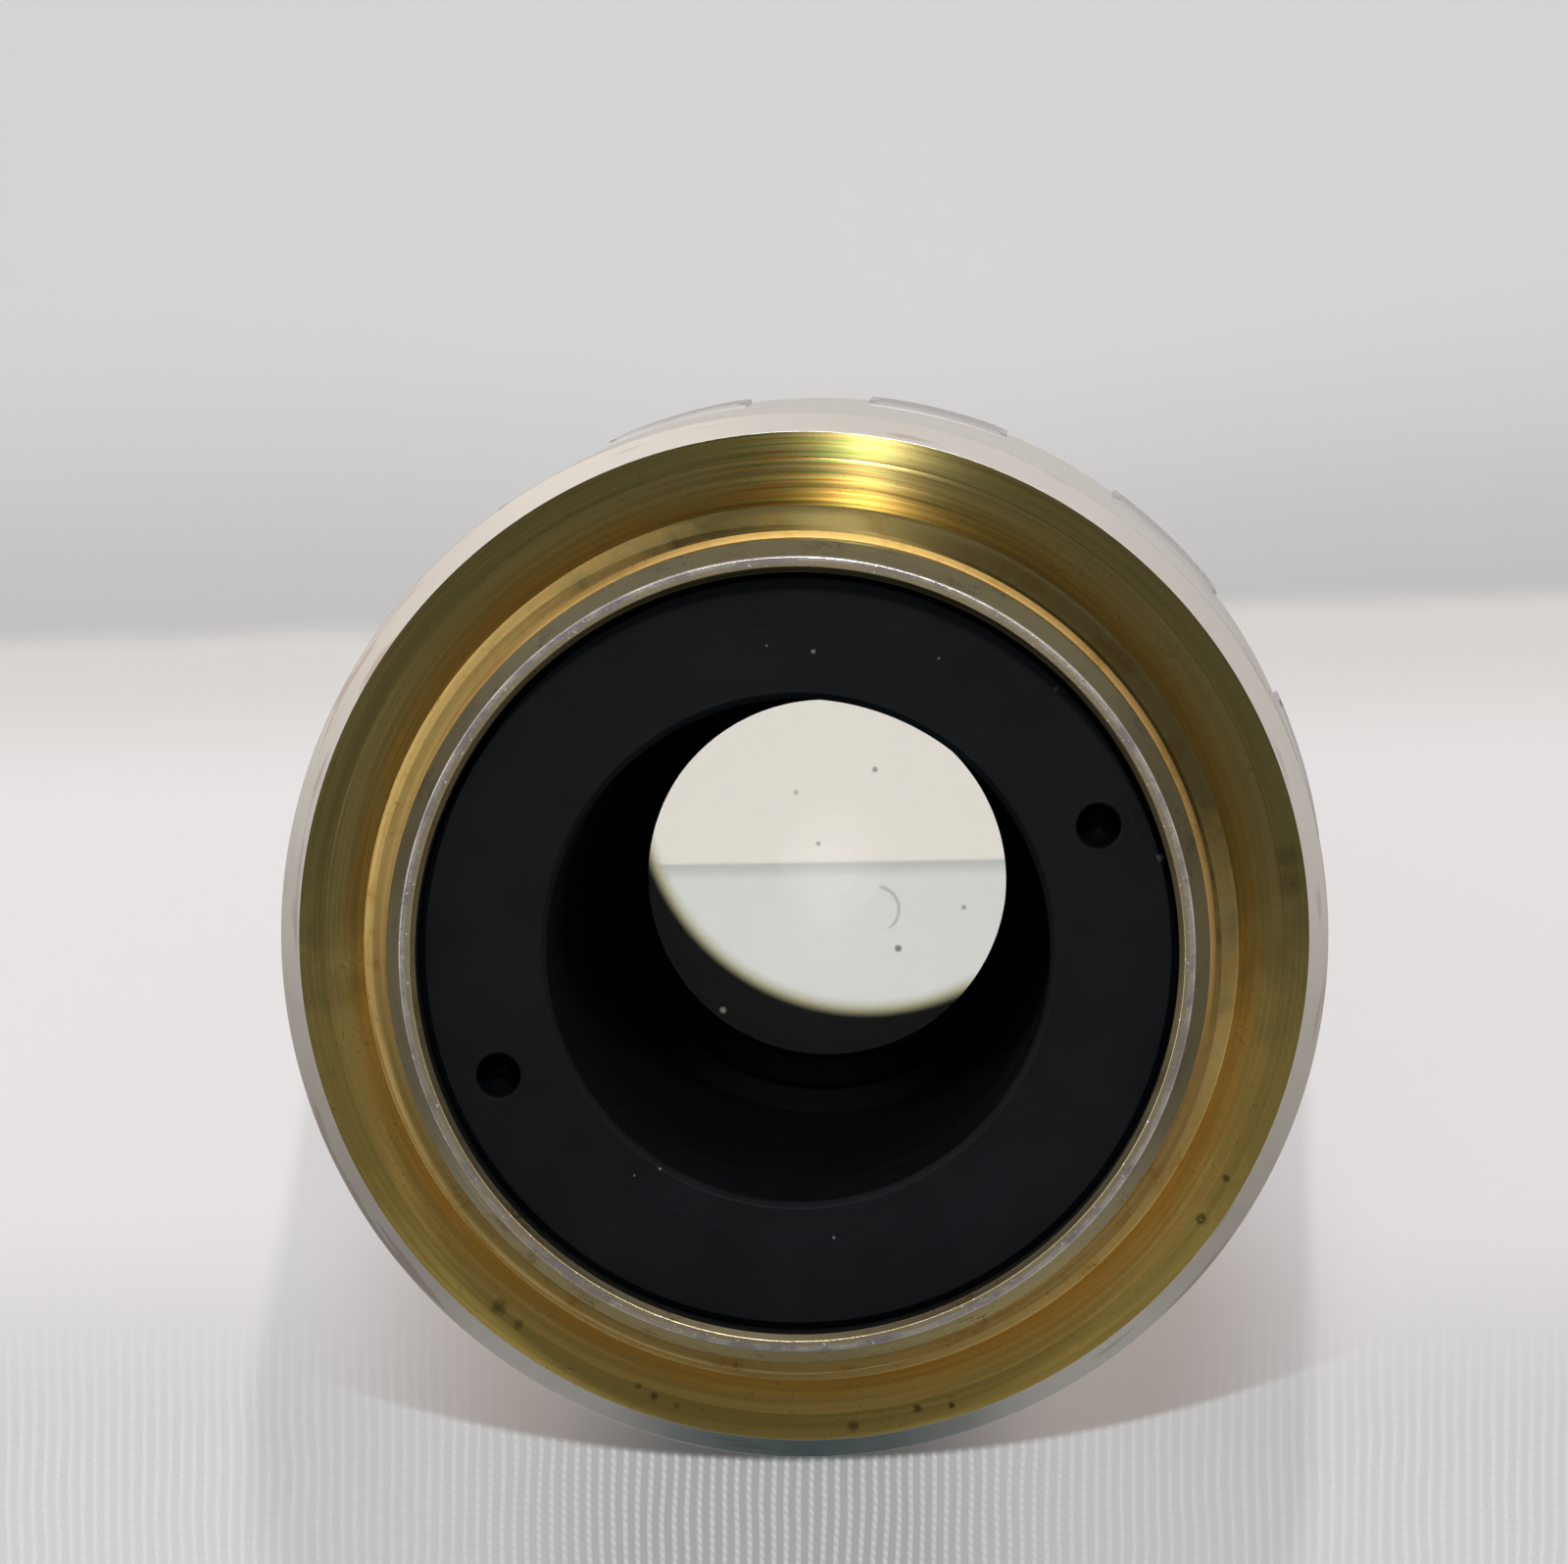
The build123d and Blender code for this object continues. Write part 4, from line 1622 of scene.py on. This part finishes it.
@dataclass
class GripPads:
    """The raised pads on the barrel, with a fine diamond knurl.

    Angles are in degrees. A pad reaches in to root_r, so that it closes inside the barrel's wall.
    """

    node: str = "outer_barrel"
    count: int = 12
    first_angle: float = 16.0
    arc: float = 16.0
    top: float = -11.5
    length: float = 5.0
    barrel_r: float = 12.3
    rise: float = 0.12
    root_r: float = 12.0
    knurl_pitch: float = 0.42
    knurl_depth: float = 0.075
    knurl_lean: float = 30.0
    groove_slope: float = 1.6
    edge: float = 0.12
    sharp_angle: float = 50.0
    columns: int = 58
    rows: int = 84
    finish: Finish = SatinPlate(
        "knurled_plate",
        (0.6, 0.58, 0.57),
        (0.48, 0.44, 0.42),
        line_scale=3.0,
        line_depth=0.001,
        line_share=0.4,
        roughness=0.34,
    )

    def height(self, around: np.ndarray, along: np.ndarray) -> np.ndarray:
        """Height of the pad above the barrel.

        Args:
            around: Distance round the barrel from the pad's middle.
            along: Distance down from the pad's top edge.

        Returns:
            The height at each place.
        """
        lean = math.radians(self.knurl_lean)
        waves = []
        for sign in (-1, 1):
            phase = (around * math.cos(lean) + sign * along * math.sin(lean)) / self.knurl_pitch
            waves.append(np.abs(phase - np.round(phase)) * 2)
        grooves = 1 - np.minimum(np.minimum(*waves) * self.groove_slope, 1)
        half = math.radians(self.arc / 2) * self.barrel_r
        from_end = np.minimum(along, self.length - along)
        from_side = half - np.abs(around)
        inside = np.clip(np.minimum(from_end, from_side) / self.edge - 1, 0, 1)
        ramp = np.clip(from_end / self.edge, 0, 1)
        return self.rise * ramp - self.knurl_depth * grooves * inside

    def places(self) -> np.ndarray:
        """The vertices of a pad at angle 0: its knurled face, then its left and right root lines.

        Returns:
            The places, in millimetres.
        """
        turns = np.radians(np.linspace(-self.arc / 2, self.arc / 2, self.columns))
        along = np.linspace(0, self.length, self.rows)
        outer = self.barrel_r + self.height(turns[None, :] * self.barrel_r, along[:, None])
        level = np.repeat(self.top - along[:, None], self.columns, 1)
        face = np.stack([outer * np.cos(turns), outer * np.sin(turns), level], axis=-1).reshape(-1, 3)
        roots = [
            (self.root_r * math.cos(turn), self.root_r * math.sin(turn), self.top - down)
            for turn in (turns[0], turns[-1])
            for down in along
        ]
        return np.concatenate([face, roots])

    def polygons(self) -> list[list[int]]:
        """The faces of a closed pad.

        Returns:
            The vertex numbers of each face.
        """
        index = np.arange(self.rows * self.columns).reshape(self.rows, self.columns)
        left = index.size + np.arange(self.rows)
        right = left + self.rows
        sheets = [
            np.stack([index[:-1, :-1], index[1:, :-1], index[1:, 1:], index[:-1, 1:]], -1).reshape(-1, 4),
            np.stack([left[:-1], left[1:], index[1:, 0], index[:-1, 0]], -1),
            np.stack([index[:-1, -1], index[1:, -1], right[1:], right[:-1]], -1),
            np.stack([right[:-1], right[1:], left[1:], left[:-1]], -1),
        ]
        top = [int(left[0]), *index[0].tolist(), int(right[0])]
        foot = [int(right[-1]), *index[-1][::-1].tolist(), int(left[-1])]
        return [face for sheet in sheets for face in sheet.tolist()] + [top, foot]

    def pad(self, angle: float, material: Material) -> Thing:
        """Makes one closed pad.

        Args:
            angle: The angle of its middle.
            material: Its material.

        Returns:
            The pad.
        """
        mesh = bpy.data.meshes.new("grip_pad")
        mesh.from_pydata((self.places() * MM).tolist(), [], self.polygons())
        mesh.materials.append(material)
        mesh.transform(about_axis(angle))
        mesh.polygons.foreach_set("use_smooth", np.ones(len(mesh.polygons), bool))
        mesh.set_sharp_from_angle(angle=math.radians(self.sharp_angle))
        return placed("grip_pad", mesh)

    def build(self) -> Thing:
        """Makes the pads.

        Returns:
            The object.
        """
        material = self.finish.material()
        pads = [self.pad(self.first_angle + 360 / self.count * k, material) for k in range(self.count)]
        return finished(joined("grip_pads", pads), [self.node])


@dataclass
class RetainingRing:
    """The black ring in the rear mouth, with two blind spanner holes.

    A drill ends in a point, and widens above hole_break to break the hole's edge.
    """

    node: str = "rear_retaining_ring"
    bore_r: float = 5.8
    chamfer: float = 0.15
    face_rows: int = 4
    hole_place_r: float = 7.5
    hole_depth: float = 1.5
    hole_break: float = 0.05
    hole_angle: float = 22.7
    drill_over: float = 0.5
    drill_point: float = 0.2
    drill_columns: int = 72
    finish: Finish = BlackCoat(
        "ring_black",
        (0.0028, 0.0042, 0.0054),
        roughness=0.4,
        dust=0.8,
        motes=(
            Stain(6.91, 87.1, 0.06, 0.9),
            Stain(7.07, 95.9, 0.04, 0.5),
            Stain(7.48, 64.4, 0.04, 0.5),
            Stain(5.96, -122.3, 0.04, 0.8),
            Stain(6.67, -82.9, 0.04, 0.7),
            Stain(8.46, 45.6, 0.07, 0.2),
            Stain(8.62, 14.6, 0.11, 0.4),
        ),
    )

    def drill(self, angle: float, top: float, material: Material) -> Thing:
        """Makes the solid that cuts one hole and breaks its edge.

        Args:
            angle: Where the hole lies.
            top: The height of the ring's face.
            material: The material of the hole.

        Returns:
            The cutter.
        """
        hole_r = mount_size("spanner_hole_1", "r_mm")
        over, foot = top + self.drill_over, top - self.hole_depth
        section = [
            Corner(0, over),
            Corner(hole_r + self.drill_over + self.hole_break, over, soften=0),
            Corner(hole_r, top - self.hole_break, soften=0),
            Corner(hole_r, foot, soften=0),
            Corner(0, foot - self.drill_point),
        ]
        cutter = TurnedForm("drill", [material]).solid(section, self.drill_columns)
        return moved(cutter, about_axis(angle) @ Matrix.Translation((self.hole_place_r * MM, 0, 0)))

    def build(self) -> Thing:
        """Makes the ring.

        Returns:
            The object.
        """
        span = span_of(self.node)
        material = self.finish.material()
        section = [
            Corner(self.bore_r, span.bottom),
            Corner(self.bore_r, span.top - self.chamfer),
            Corner(self.bore_r + self.chamfer, span.top, rows=self.face_rows),
            Corner(span.radius - self.chamfer, span.top),
            Corner(span.radius, span.top - self.chamfer),
            Corner(span.radius, span.bottom),
        ]
        ring = TurnedForm(self.node + "_body", [material]).ring(section)
        angles = (self.hole_angle, self.hole_angle + 180)
        drills = [self.drill(angle, span.top, material) for angle in angles]
        return finished(carved(ring, drills), [self.node])


@dataclass(frozen=True)
class RingPiece:
    """A turned ring inside the objective.

    section lists radius and height. slot_z is the face that a spanner slot is cut into.
    """

    node: str
    section: Sequence[tuple[float, float]]
    finish: Finish
    slot_name: str = "black_metal"
    slot_z: float | None = None
    slot_depth: float = 0.3
    slot_width: float = 0.8
    soften: float = 0.02

    def build(self) -> Thing:
        """Makes the ring.

        Returns:
            The object.
        """
        form = TurnedForm(self.node + "_body", [self.finish.material()])
        ring = form.ring([Corner(r, z, soften=self.soften) for r, z in self.section])
        if self.slot_z is not None:
            reach = 2 * max(r for r, _ in self.section) + 1
            size = Vector((reach, self.slot_width, 2 * self.slot_depth))
            ring = carved(ring, [box_cutter(size, Vector((0, 0, self.slot_z)))])
        return finished(ring, [self.node])


CELL_BLACK = BlackCoat("cell_black", (0.0045, 0.005, 0.005), roughness=0.6, dust=0.2)
LINER_BLACK = BlackCoat("liner_black", (0.007, 0.0082, 0.009), roughness=0.6, dust=0.2)
TUBE_BLACK = BlackCoat("tube_black", (0.003, 0.003, 0.003), roughness=0.6, dust=0.3)


class Side(Enum):
    """The end face of a ring that takes a spanner slot."""

    NONE = auto()
    TOP = auto()
    FOOT = auto()


def plain_ring(
    node: str, bore_r: float, finish: Finish = CELL_BLACK, slotted: Side = Side.NONE, **options: str | float
) -> RingPiece:
    """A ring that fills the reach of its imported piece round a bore.

    Args:
        node: The piece's name in the frame.
        bore_r: The bore.
        finish: Its finish.
        slotted: The face with a spanner slot.
        options: The other fields of the ring.

    Returns:
        The ring.
    """
    span = span_of(node)
    section = (
        (bore_r, span.bottom),
        (bore_r, span.top),
        (span.radius, span.top),
        (span.radius, span.bottom),
    )
    slot_z = {Side.NONE: None, Side.TOP: span.top, Side.FOOT: span.bottom}
    return RingPiece(node, section, finish, slot_z=slot_z[slotted], **options)


@dataclass
class LensTube:
    """The tube inside the barrel, its dark liner and the shim below its flange."""

    bore_r: float = 6.32
    neck_r: float = 6.9
    flange_foot: float = -16.6
    cell_bore_r: float = 6.2
    ledge_bore_r: float = 5.2
    ledge_foot: float = -21.6
    liner_bore_r: float = 5.8
    shim_bore_r: float = 6.95
    slot: str = "tube_brass"

    def rings(self) -> list[RingPiece]:
        """The three rings.

        Returns:
            The tube, the liner and the shim.
        """
        tube, ledge_top = span_of("inner_lens_tube"), span_of("baffle_tube").bottom
        section = (
            (self.cell_bore_r, tube.bottom),
            (self.cell_bore_r, self.ledge_foot),
            (self.ledge_bore_r, self.ledge_foot),
            (self.ledge_bore_r, ledge_top),
            (self.bore_r, ledge_top),
            (self.bore_r, tube.top),
            (tube.radius, tube.top),
            (tube.radius, self.flange_foot),
            (self.neck_r, self.flange_foot),
            (self.neck_r, tube.bottom),
        )
        return [
            RingPiece("inner_lens_tube", section, TUBE_BLACK, self.slot),
            plain_ring("baffle_tube", self.liner_bore_r, LINER_BLACK),
            plain_ring("parfocal_shim", self.shim_bore_r, TUBE_BLACK, slot_name=self.slot),
        ]

    def build(self) -> list[Thing]:
        """Makes the pieces."""
        return [ring.build() for ring in self.rings()]


class LensZone(IntEnum):
    """The faces of a lens, in the order of its materials."""

    GLASS = 0
    RIM = 1


@dataclass(frozen=True)
class LensFace:
    """A face of a lens.

    z is its height on the axis. curve is its radius, positive where it is domed upwards, and 0 where
    it is flat.
    """

    z: float
    curve: float = 0.0

    def height(self, r: float) -> float:
        """Height of the face.

        Args:
            r: The distance from the axis.

        Returns:
            The height there.
        """
        if self.curve == 0:
            return self.z
        return self.z - math.copysign(abs(self.curve) - math.sqrt(self.curve**2 - r**2), self.curve)

    def raised(self, by: float) -> Self:
        """The same face, moved up the axis."""
        return replace(self, z=self.z + by)


@dataclass(frozen=True)
class Lens:
    """One lens, with a blackened rim."""

    node: str
    radius: float
    top: LensFace
    foot: LensFace
    glass: LensGlass
    rim_finish: Finish = BlackCoat("lens_rim_black", (0.002, 0.002, 0.002), roughness=0.7, dust=0.0)
    steps: int = 24
    columns: int = 192
    soften: float = 0.02

    def build(self) -> Thing:
        """Makes the lens.

        Returns:
            The object.
        """
        radii = [self.radius * k / self.steps for k in range(self.steps)]
        upper = [Corner(r, self.top.height(r), LensZone.GLASS, soften=0) for r in radii]
        lower = [Corner(r, self.foot.height(r), LensZone.GLASS, soften=0) for r in radii]
        rim = [
            Corner(self.radius, self.top.height(self.radius), LensZone.RIM, soften=self.soften),
            Corner(self.radius, self.foot.height(self.radius), LensZone.GLASS, soften=self.soften),
        ]
        form = TurnedForm(self.node + "_glass", [self.glass.material(), self.rim_finish.material()])
        lens = form.solid([*upper, *rim, *reversed(lower)], self.columns)
        return finished(lens, [self.node])


@dataclass
class LensSet:
    """The two cemented doublets and the front lens."""

    rear: LensFace = LensFace(-22.6, 16.0)
    rear_cement: LensFace = LensFace(-23.7, 9.0)
    middle: LensFace = LensFace(-26.95, 11.05)
    middle_cement: LensFace = LensFace(-29.45, -31.2)
    middle_foot: LensFace = LensFace(-30.45, 35.8)
    front: LensFace = LensFace(-32.45, 94.9)
    cement_gap: float = 0.01
    flint: LensGlass = LensGlass("polished_flint", 1.648, "flint_glass")
    crown: LensGlass = LensGlass("polished_crown", 1.517, "crown_glass")
    dense: LensGlass = LensGlass("polished_front", 1.62, "crown_glass")

    def lenses(self) -> list[Lens]:
        """The five lenses.

        Returns:
            The lenses, from the rear down.
        """
        rear, middle, front = (span_of(n) for n in ("rear_crown_lens", "middle_crown_lens", "front_lens"))
        above_cement = self.rear_cement.raised(self.cement_gap)
        below_cement = self.middle_cement.raised(-self.cement_gap)
        rear_foot, front_foot = LensFace(rear.bottom), LensFace(front.bottom)
        return [
            Lens("rear_flint_lens", rear.radius, self.rear, above_cement, self.flint),
            Lens("rear_crown_lens", rear.radius, self.rear_cement, rear_foot, self.crown),
            Lens("middle_crown_lens", middle.radius, self.middle, self.middle_cement, self.crown),
            Lens("middle_flint_lens", middle.radius, below_cement, self.middle_foot, self.flint),
            Lens("front_lens", front.radius, self.front, front_foot, self.dense),
        ]

    def build(self) -> list[Thing]:
        """Makes the lenses."""
        return [lens.build() for lens in self.lenses()]


@dataclass
class LensStack:
    """The cells, their threaded rings, the stop and the spacer."""

    rear_lip_r: float = 4.57
    rear_bore_r: float = 5.51
    ring_wall: float = 0.4
    slide_gap: float = 0.02
    lens_gap: float = 0.01
    rear_ring_bore_r: float = 5.0
    stop_bore_r: float = 4.4
    middle_lip_r: float = 4.6
    middle_bore_r: float = 5.01
    middle_ring_bore_r: float = 4.4
    spacer_bore_r: float = 5.3
    front_nose_r: float = 5.2
    front_flange: float = -33.2
    front_mouth_r: float = 3.7
    front_bore_r: float = 4.21
    front_flare: float = 0.25
    front_thread_over: float = 0.025
    front_ring_bore_r: float = 3.8
    front_slot_depth: float = 0.5
    lenses: LensSet = field(default_factory=LensSet)

    def held_lens_cell(
        self, node: str, lens: str, lip_r: float, bore_r: float, face: LensFace, rim_z: float
    ) -> RingPiece:
        """A cell with a lip above its lens and a thread for a ring below it.

        Args:
            node: The cell's name.
            lens: The lowest lens in it.
            lip_r: The bore of the lip.
            bore_r: The bore around the lens.
            face: The face that the lip holds.
            rim_z: Where the thread for the ring ends.

        Returns:
            The cell.
        """
        cell = span_of(node)
        seat_r = span_of(lens).radius + self.ring_wall
        lip_z = face.height(lip_r) + self.lens_gap
        section = (
            (seat_r, cell.bottom),
            (seat_r, rim_z),
            (bore_r, rim_z),
            (bore_r, lip_z),
            (lip_r, lip_z),
            (lip_r, cell.top),
            (cell.radius, cell.top),
            (cell.radius, cell.bottom),
        )
        return RingPiece(node, section, CELL_BLACK)

    def front_cell(self) -> RingPiece:
        """The cell of the front lens, with its ring above the lens and a flared mouth below.

        Returns:
            The cell.
        """
        cell, lens = span_of("front_cell"), span_of("front_lens")
        seat_r = lens.radius + self.ring_wall
        seat_z = lens.bottom - self.lens_gap
        thread_foot = span_of("front_lens_ring").bottom - self.front_thread_over
        section = (
            (self.front_mouth_r + self.front_flare, cell.bottom),
            (self.front_mouth_r, cell.bottom + self.front_flare),
            (self.front_mouth_r, seat_z),
            (self.front_bore_r, seat_z),
            (self.front_bore_r, thread_foot),
            (seat_r, thread_foot),
            (seat_r, cell.top),
            (cell.radius, cell.top),
            (cell.radius, self.front_flange),
            (self.front_nose_r, self.front_flange),
            (self.front_nose_r, cell.bottom),
        )
        return RingPiece("front_cell", section, CELL_BLACK)

    def rings(self) -> list[RingPiece]:
        """Every ring of the stack.

        Returns:
            The rings, from the rear down.
        """
        rear_foot = span_of("rear_crown_lens").bottom - self.lens_gap
        middle_foot = span_of("middle_lens_ring").top
        rear, middle = self.lenses.rear, self.lenses.middle
        clamp_bore_r = self.front_nose_r + self.slide_gap
        return [
            self.held_lens_cell(
                "rear_cell", "rear_crown_lens", self.rear_lip_r, self.rear_bore_r, rear, rear_foot
            ),
            plain_ring("rear_lens_ring", self.rear_ring_bore_r, slotted=Side.FOOT),
            plain_ring("aperture_stop", self.stop_bore_r),
            self.held_lens_cell(
                "middle_cell",
                "middle_crown_lens",
                self.middle_lip_r,
                self.middle_bore_r,
                middle,
                middle_foot,
            ),
            plain_ring("middle_lens_ring", self.middle_ring_bore_r, slotted=Side.FOOT),
            plain_ring("front_spacer", self.spacer_bore_r),
            self.front_cell(),
            plain_ring("front_lens_ring", self.front_ring_bore_r, slotted=Side.TOP),
            plain_ring(
                "front_retaining_ring", clamp_bore_r, slotted=Side.FOOT, slot_depth=self.front_slot_depth
            ),
        ]

    def build(self) -> list[Thing]:
        """Makes the pieces."""
        return [ring.build() for ring in self.rings()]


class SleeveZone(IntEnum):
    """The faces of the nose sleeve, in the order of its materials."""

    PLATE = 0
    INSIDE = 1


@dataclass
class NoseSleeve:
    """The conical front sleeve and the three grub screws that lock it."""

    node: str = "nose_sleeve"
    spigot_bore_r: float = 9.42
    top_chamfer: float = 0.3
    band_length: float = 2.6
    cone_end: float = -33.0
    nose_r: float = 8.3
    nose_chamfer: float = 0.8
    mouth_r: float = 5.6
    lip: float = 0.6
    neck_bore_r: float = 6.95
    neck_start: float = -31.5
    cavity_r: float = 8.6
    cavity_top: float = -20.95
    cavity_foot: float = -24.95
    screw_z: float = -19.65
    screw_r: float = 0.8
    screw_gap: float = 0.02
    screw_length: float = 1.7
    screw_columns: int = 64
    slot_width: float = 0.25
    slot_depth: float = 0.4
    screw_angles: tuple[float, ...] = (30.0, 150.0, 270.0)
    drill_over: float = 1.0
    drill_columns: int = 72
    plate: Finish = SatinPlate("nose_plate")
    steel: Finish = BluedSteel()

    def radial(self, angle: float, radius: float) -> Matrix:
        """Puts a form made along Z on the line of a screw.

        Args:
            angle: The screw's angle.
            radius: Its distance from the axis.

        Returns:
            The motion, in metres.
        """
        outward = Matrix.Rotation(math.pi / 2, 4, "Y")
        return about_axis(angle) @ Matrix.Translation((radius * MM, 0, self.screw_z * MM)) @ outward

    def section(self, span: Span) -> list[Corner]:
        """The half section of the sleeve.

        Args:
            span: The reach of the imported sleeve.

        Returns:
            The corners.
        """
        return [
            Corner(self.mouth_r, span.bottom, SleeveZone.INSIDE),
            Corner(self.mouth_r, span.bottom + self.lip, SleeveZone.INSIDE),
            Corner(self.neck_bore_r, span.bottom + self.lip, SleeveZone.INSIDE),
            Corner(self.neck_bore_r, self.neck_start, SleeveZone.INSIDE),
            Corner(self.cavity_r, self.cavity_foot, SleeveZone.INSIDE),
            Corner(self.cavity_r, self.cavity_top, SleeveZone.INSIDE),
            Corner(self.spigot_bore_r, self.cavity_top, SleeveZone.INSIDE),
            Corner(self.spigot_bore_r, span.top, SleeveZone.PLATE),
            Corner(span.radius - self.top_chamfer, span.top, SleeveZone.PLATE, soften=0.04),
            Corner(span.radius, span.top - self.top_chamfer, SleeveZone.PLATE, soften=0.06),
            Corner(span.radius, span.top - self.band_length, SleeveZone.PLATE, soften=0.1),
            Corner(self.nose_r, self.cone_end, SleeveZone.PLATE, soften=0.1),
            Corner(self.nose_r, span.bottom + self.nose_chamfer, SleeveZone.PLATE, soften=0.08),
            Corner(self.nose_r - self.nose_chamfer, span.bottom, SleeveZone.PLATE, soften=0.06),
        ]

    def build_sleeve(self) -> Thing:
        """Makes the sleeve, with a hole for each screw.

        Returns:
            The object.
        """
        span = span_of(self.node)
        plate = self.plate.material()
        sleeve = TurnedForm("nose_sleeve_body", [plate, CELL_BLACK.material()]).ring(self.section(span))
        reach = span.radius - self.spigot_bore_r + self.drill_over
        hole_r = self.screw_r + self.screw_gap
        profile = [
            Corner(0, reach),
            Corner(hole_r, reach, soften=0),
            Corner(hole_r, -reach, soften=0),
            Corner(0, -reach),
        ]
        drills = []
        for angle in self.screw_angles:
            drill = TurnedForm("drill", [plate]).solid(profile, self.drill_columns)
            drills.append(moved(drill, self.radial(angle, span.radius)))
        return finished(carved(sleeve, drills), [self.node])

    def build_screws(self) -> Thing:
        """Makes the screws.

        Returns:
            The object.
        """
        steel = self.steel.material()
        half = self.screw_length / 2
        profile = [
            Corner(0, half),
            Corner(self.screw_r, half, soften=0.1),
            Corner(self.screw_r, -half, soften=0.15),
            Corner(0, -half),
        ]
        slot = Vector((self.slot_width, 3 * self.screw_r, 2 * self.slot_depth))
        screws = []
        for angle in self.screw_angles:
            screw = TurnedForm("grub_screw", [steel]).solid(profile, self.screw_columns)
            screw = carved(screw, [box_cutter(slot, Vector((0, 0, half)))])
            screws.append(moved(screw, self.radial(angle, self.spigot_bore_r + half)))
        return finished(joined("grub_screws", screws), ["nose_set_screws"])

    def build(self) -> list[Thing]:
        """Makes the sleeve and the screws."""
        return [self.build_sleeve(), self.build_screws()]


# The studio


@dataclass(frozen=True)
class Lamp:
    """An oval lamp: where it hangs, its width and height, its watts and its colour."""

    place: tuple[float, float, float]
    width: float
    height: float
    watts: float
    colour: Colour


class Light(Enum):
    """The lamps."""

    KEY = Lamp((10.0, 105.0, 227.0), 5.0, 30.0, 0.22, (1.0, 0.98, 0.95))
    FILL = Lamp((-160.0, 40.0, 120.0), 120.0, 120.0, 0.04, (0.95, 0.98, 1.0))


@dataclass(frozen=True)
class SoftSky:
    """The soft light from all round: dim overhead, dark towards -Y, and brightest at a window.

    The window lies towards -X and +Y, and a fainter glow towards +X and -Y, well above the floor. The
    ranges are of the parts of a direction one unit long, and side_rise is how much of its height
    counts as +Y.
    """

    overhead: Colour = (0.25, 0.25, 0.25)
    high: Colour = (1.0, 0.97, 0.95)
    low: Colour = (0.022, 0.045, 0.055)
    window: Colour = (1.45, 1.38, 1.32)
    glow: Colour = (1.1, 1.02, 0.95)
    side_rise: float = 0.5
    side_range: Ramp = Ramp(-1.05, 0.5)
    window_ranges: tuple[Ramp, Ramp] = (Ramp(0.1, -0.5), Ramp(0.1, 0.6))
    glow_ranges: tuple[Ramp, Ramp, Ramp] = (Ramp(0.0, 0.6), Ramp(0.1, -0.5), Ramp(0.15, 0.5))
    overhead_range: Ramp = Ramp(0.4, 0.93)

    def build(self) -> None:
        """Makes the world."""
        world = bpy.data.worlds.new("studio")
        bpy.context.scene.world = world
        g = Graph(world)
        direction = g.parts_of(g.add("TexCoord"))
        _, y, z = direction
        side = g.plus(y, g.times(z, self.side_rise))
        colour = g.mix(g.step(side, self.side_range), self.low, self.high)
        for ranges, tone in ((self.window_ranges, self.window), (self.glow_ranges, self.glow)):
            share = g.times(*(g.step(part, ramp) for part, ramp in zip(direction, ranges)))
            colour = g.mix(share, colour, tone)
        colour = g.mix(g.step(z, self.overhead_range), colour, self.overhead)
        g.closed(g.add("Background", colour, 1.0), "OutputWorld")


@dataclass
class Studio:
    """The floor, the lamps, the sky and the camera. clip is in metres."""

    floor_half: float = 1500.0
    camera_place: tuple[float, float, float] = (6.85, 17.6, 261.0)
    camera_look: tuple[float, float, float] = (-0.0280, -0.0535, -1.0)
    camera_lens: float = 256.25
    sensor: float = 36.0
    clip: tuple[float, float] = (0.005, 20.0)
    ground: Finish = PaleCloth()
    sky: SoftSky = SoftSky()

    def floor(self) -> None:
        """Lays the floor that the nose stands on."""
        half = self.floor_half * MM
        height = span_of("nose_sleeve").bottom * MM
        mesh = bpy.data.meshes.new("floor")
        corners = [(x, y, height) for x, y in ((-half, -half), (half, -half), (half, half), (-half, half))]
        mesh.from_pydata(corners, [], [(0, 1, 2, 3)])
        mesh.materials.append(self.ground.material())
        placed("floor", mesh)

    def lamps(self) -> None:
        """Hangs the lamps, each turned to the middle of the object."""
        for light in Light:
            name, lamp = light.name.lower(), light.value
            data = bpy.data.lights.new(name, "AREA")
            data.shape = "ELLIPSE"
            data.size = lamp.width * MM
            data.size_y = lamp.height * MM
            data.energy = lamp.watts
            data.color = lamp.colour
            holder = placed(name, data)
            holder.location = Vector(lamp.place) * MM
            holder.rotation_euler = (-Vector(lamp.place)).to_track_quat("-Z", "Y").to_euler()

    def camera(self) -> None:
        """Sets the camera as the photograph was taken."""
        data = bpy.data.cameras.new("camera")
        data.lens = self.camera_lens
        data.sensor_width = self.sensor
        data.clip_start, data.clip_end = self.clip
        forward = Vector(self.camera_look).normalized()
        right = forward.cross(Vector((0, 1, 0))).normalized()
        up = right.cross(forward)
        turn = Matrix((right, up, -forward)).transposed().to_4x4()
        camera = placed("camera", data)
        camera.matrix_world = Matrix.Translation(Vector(self.camera_place) * MM) @ turn
        bpy.context.scene.camera = camera

    def build(self) -> None:
        """Sets up the studio."""
        self.floor()
        self.lamps()
        self.sky.build()
        self.camera()
        bpy.context.scene.view_settings.view_transform = "Standard"
        log.info("studio: floor, %d lamps, sky and camera", len(Light))


def main() -> None:
    """Builds the objective, then the studio round it."""
    logging.basicConfig(level=logging.INFO, format="%(name)s: %(message)s")
    parts = (OuterBarrel(), GripPads(), RetainingRing(), LensTube(), LensStack(), LensSet(), NoseSleeve())
    for part in parts:
        part.build()
    Studio().build()


if __name__ == "__main__":
    main()
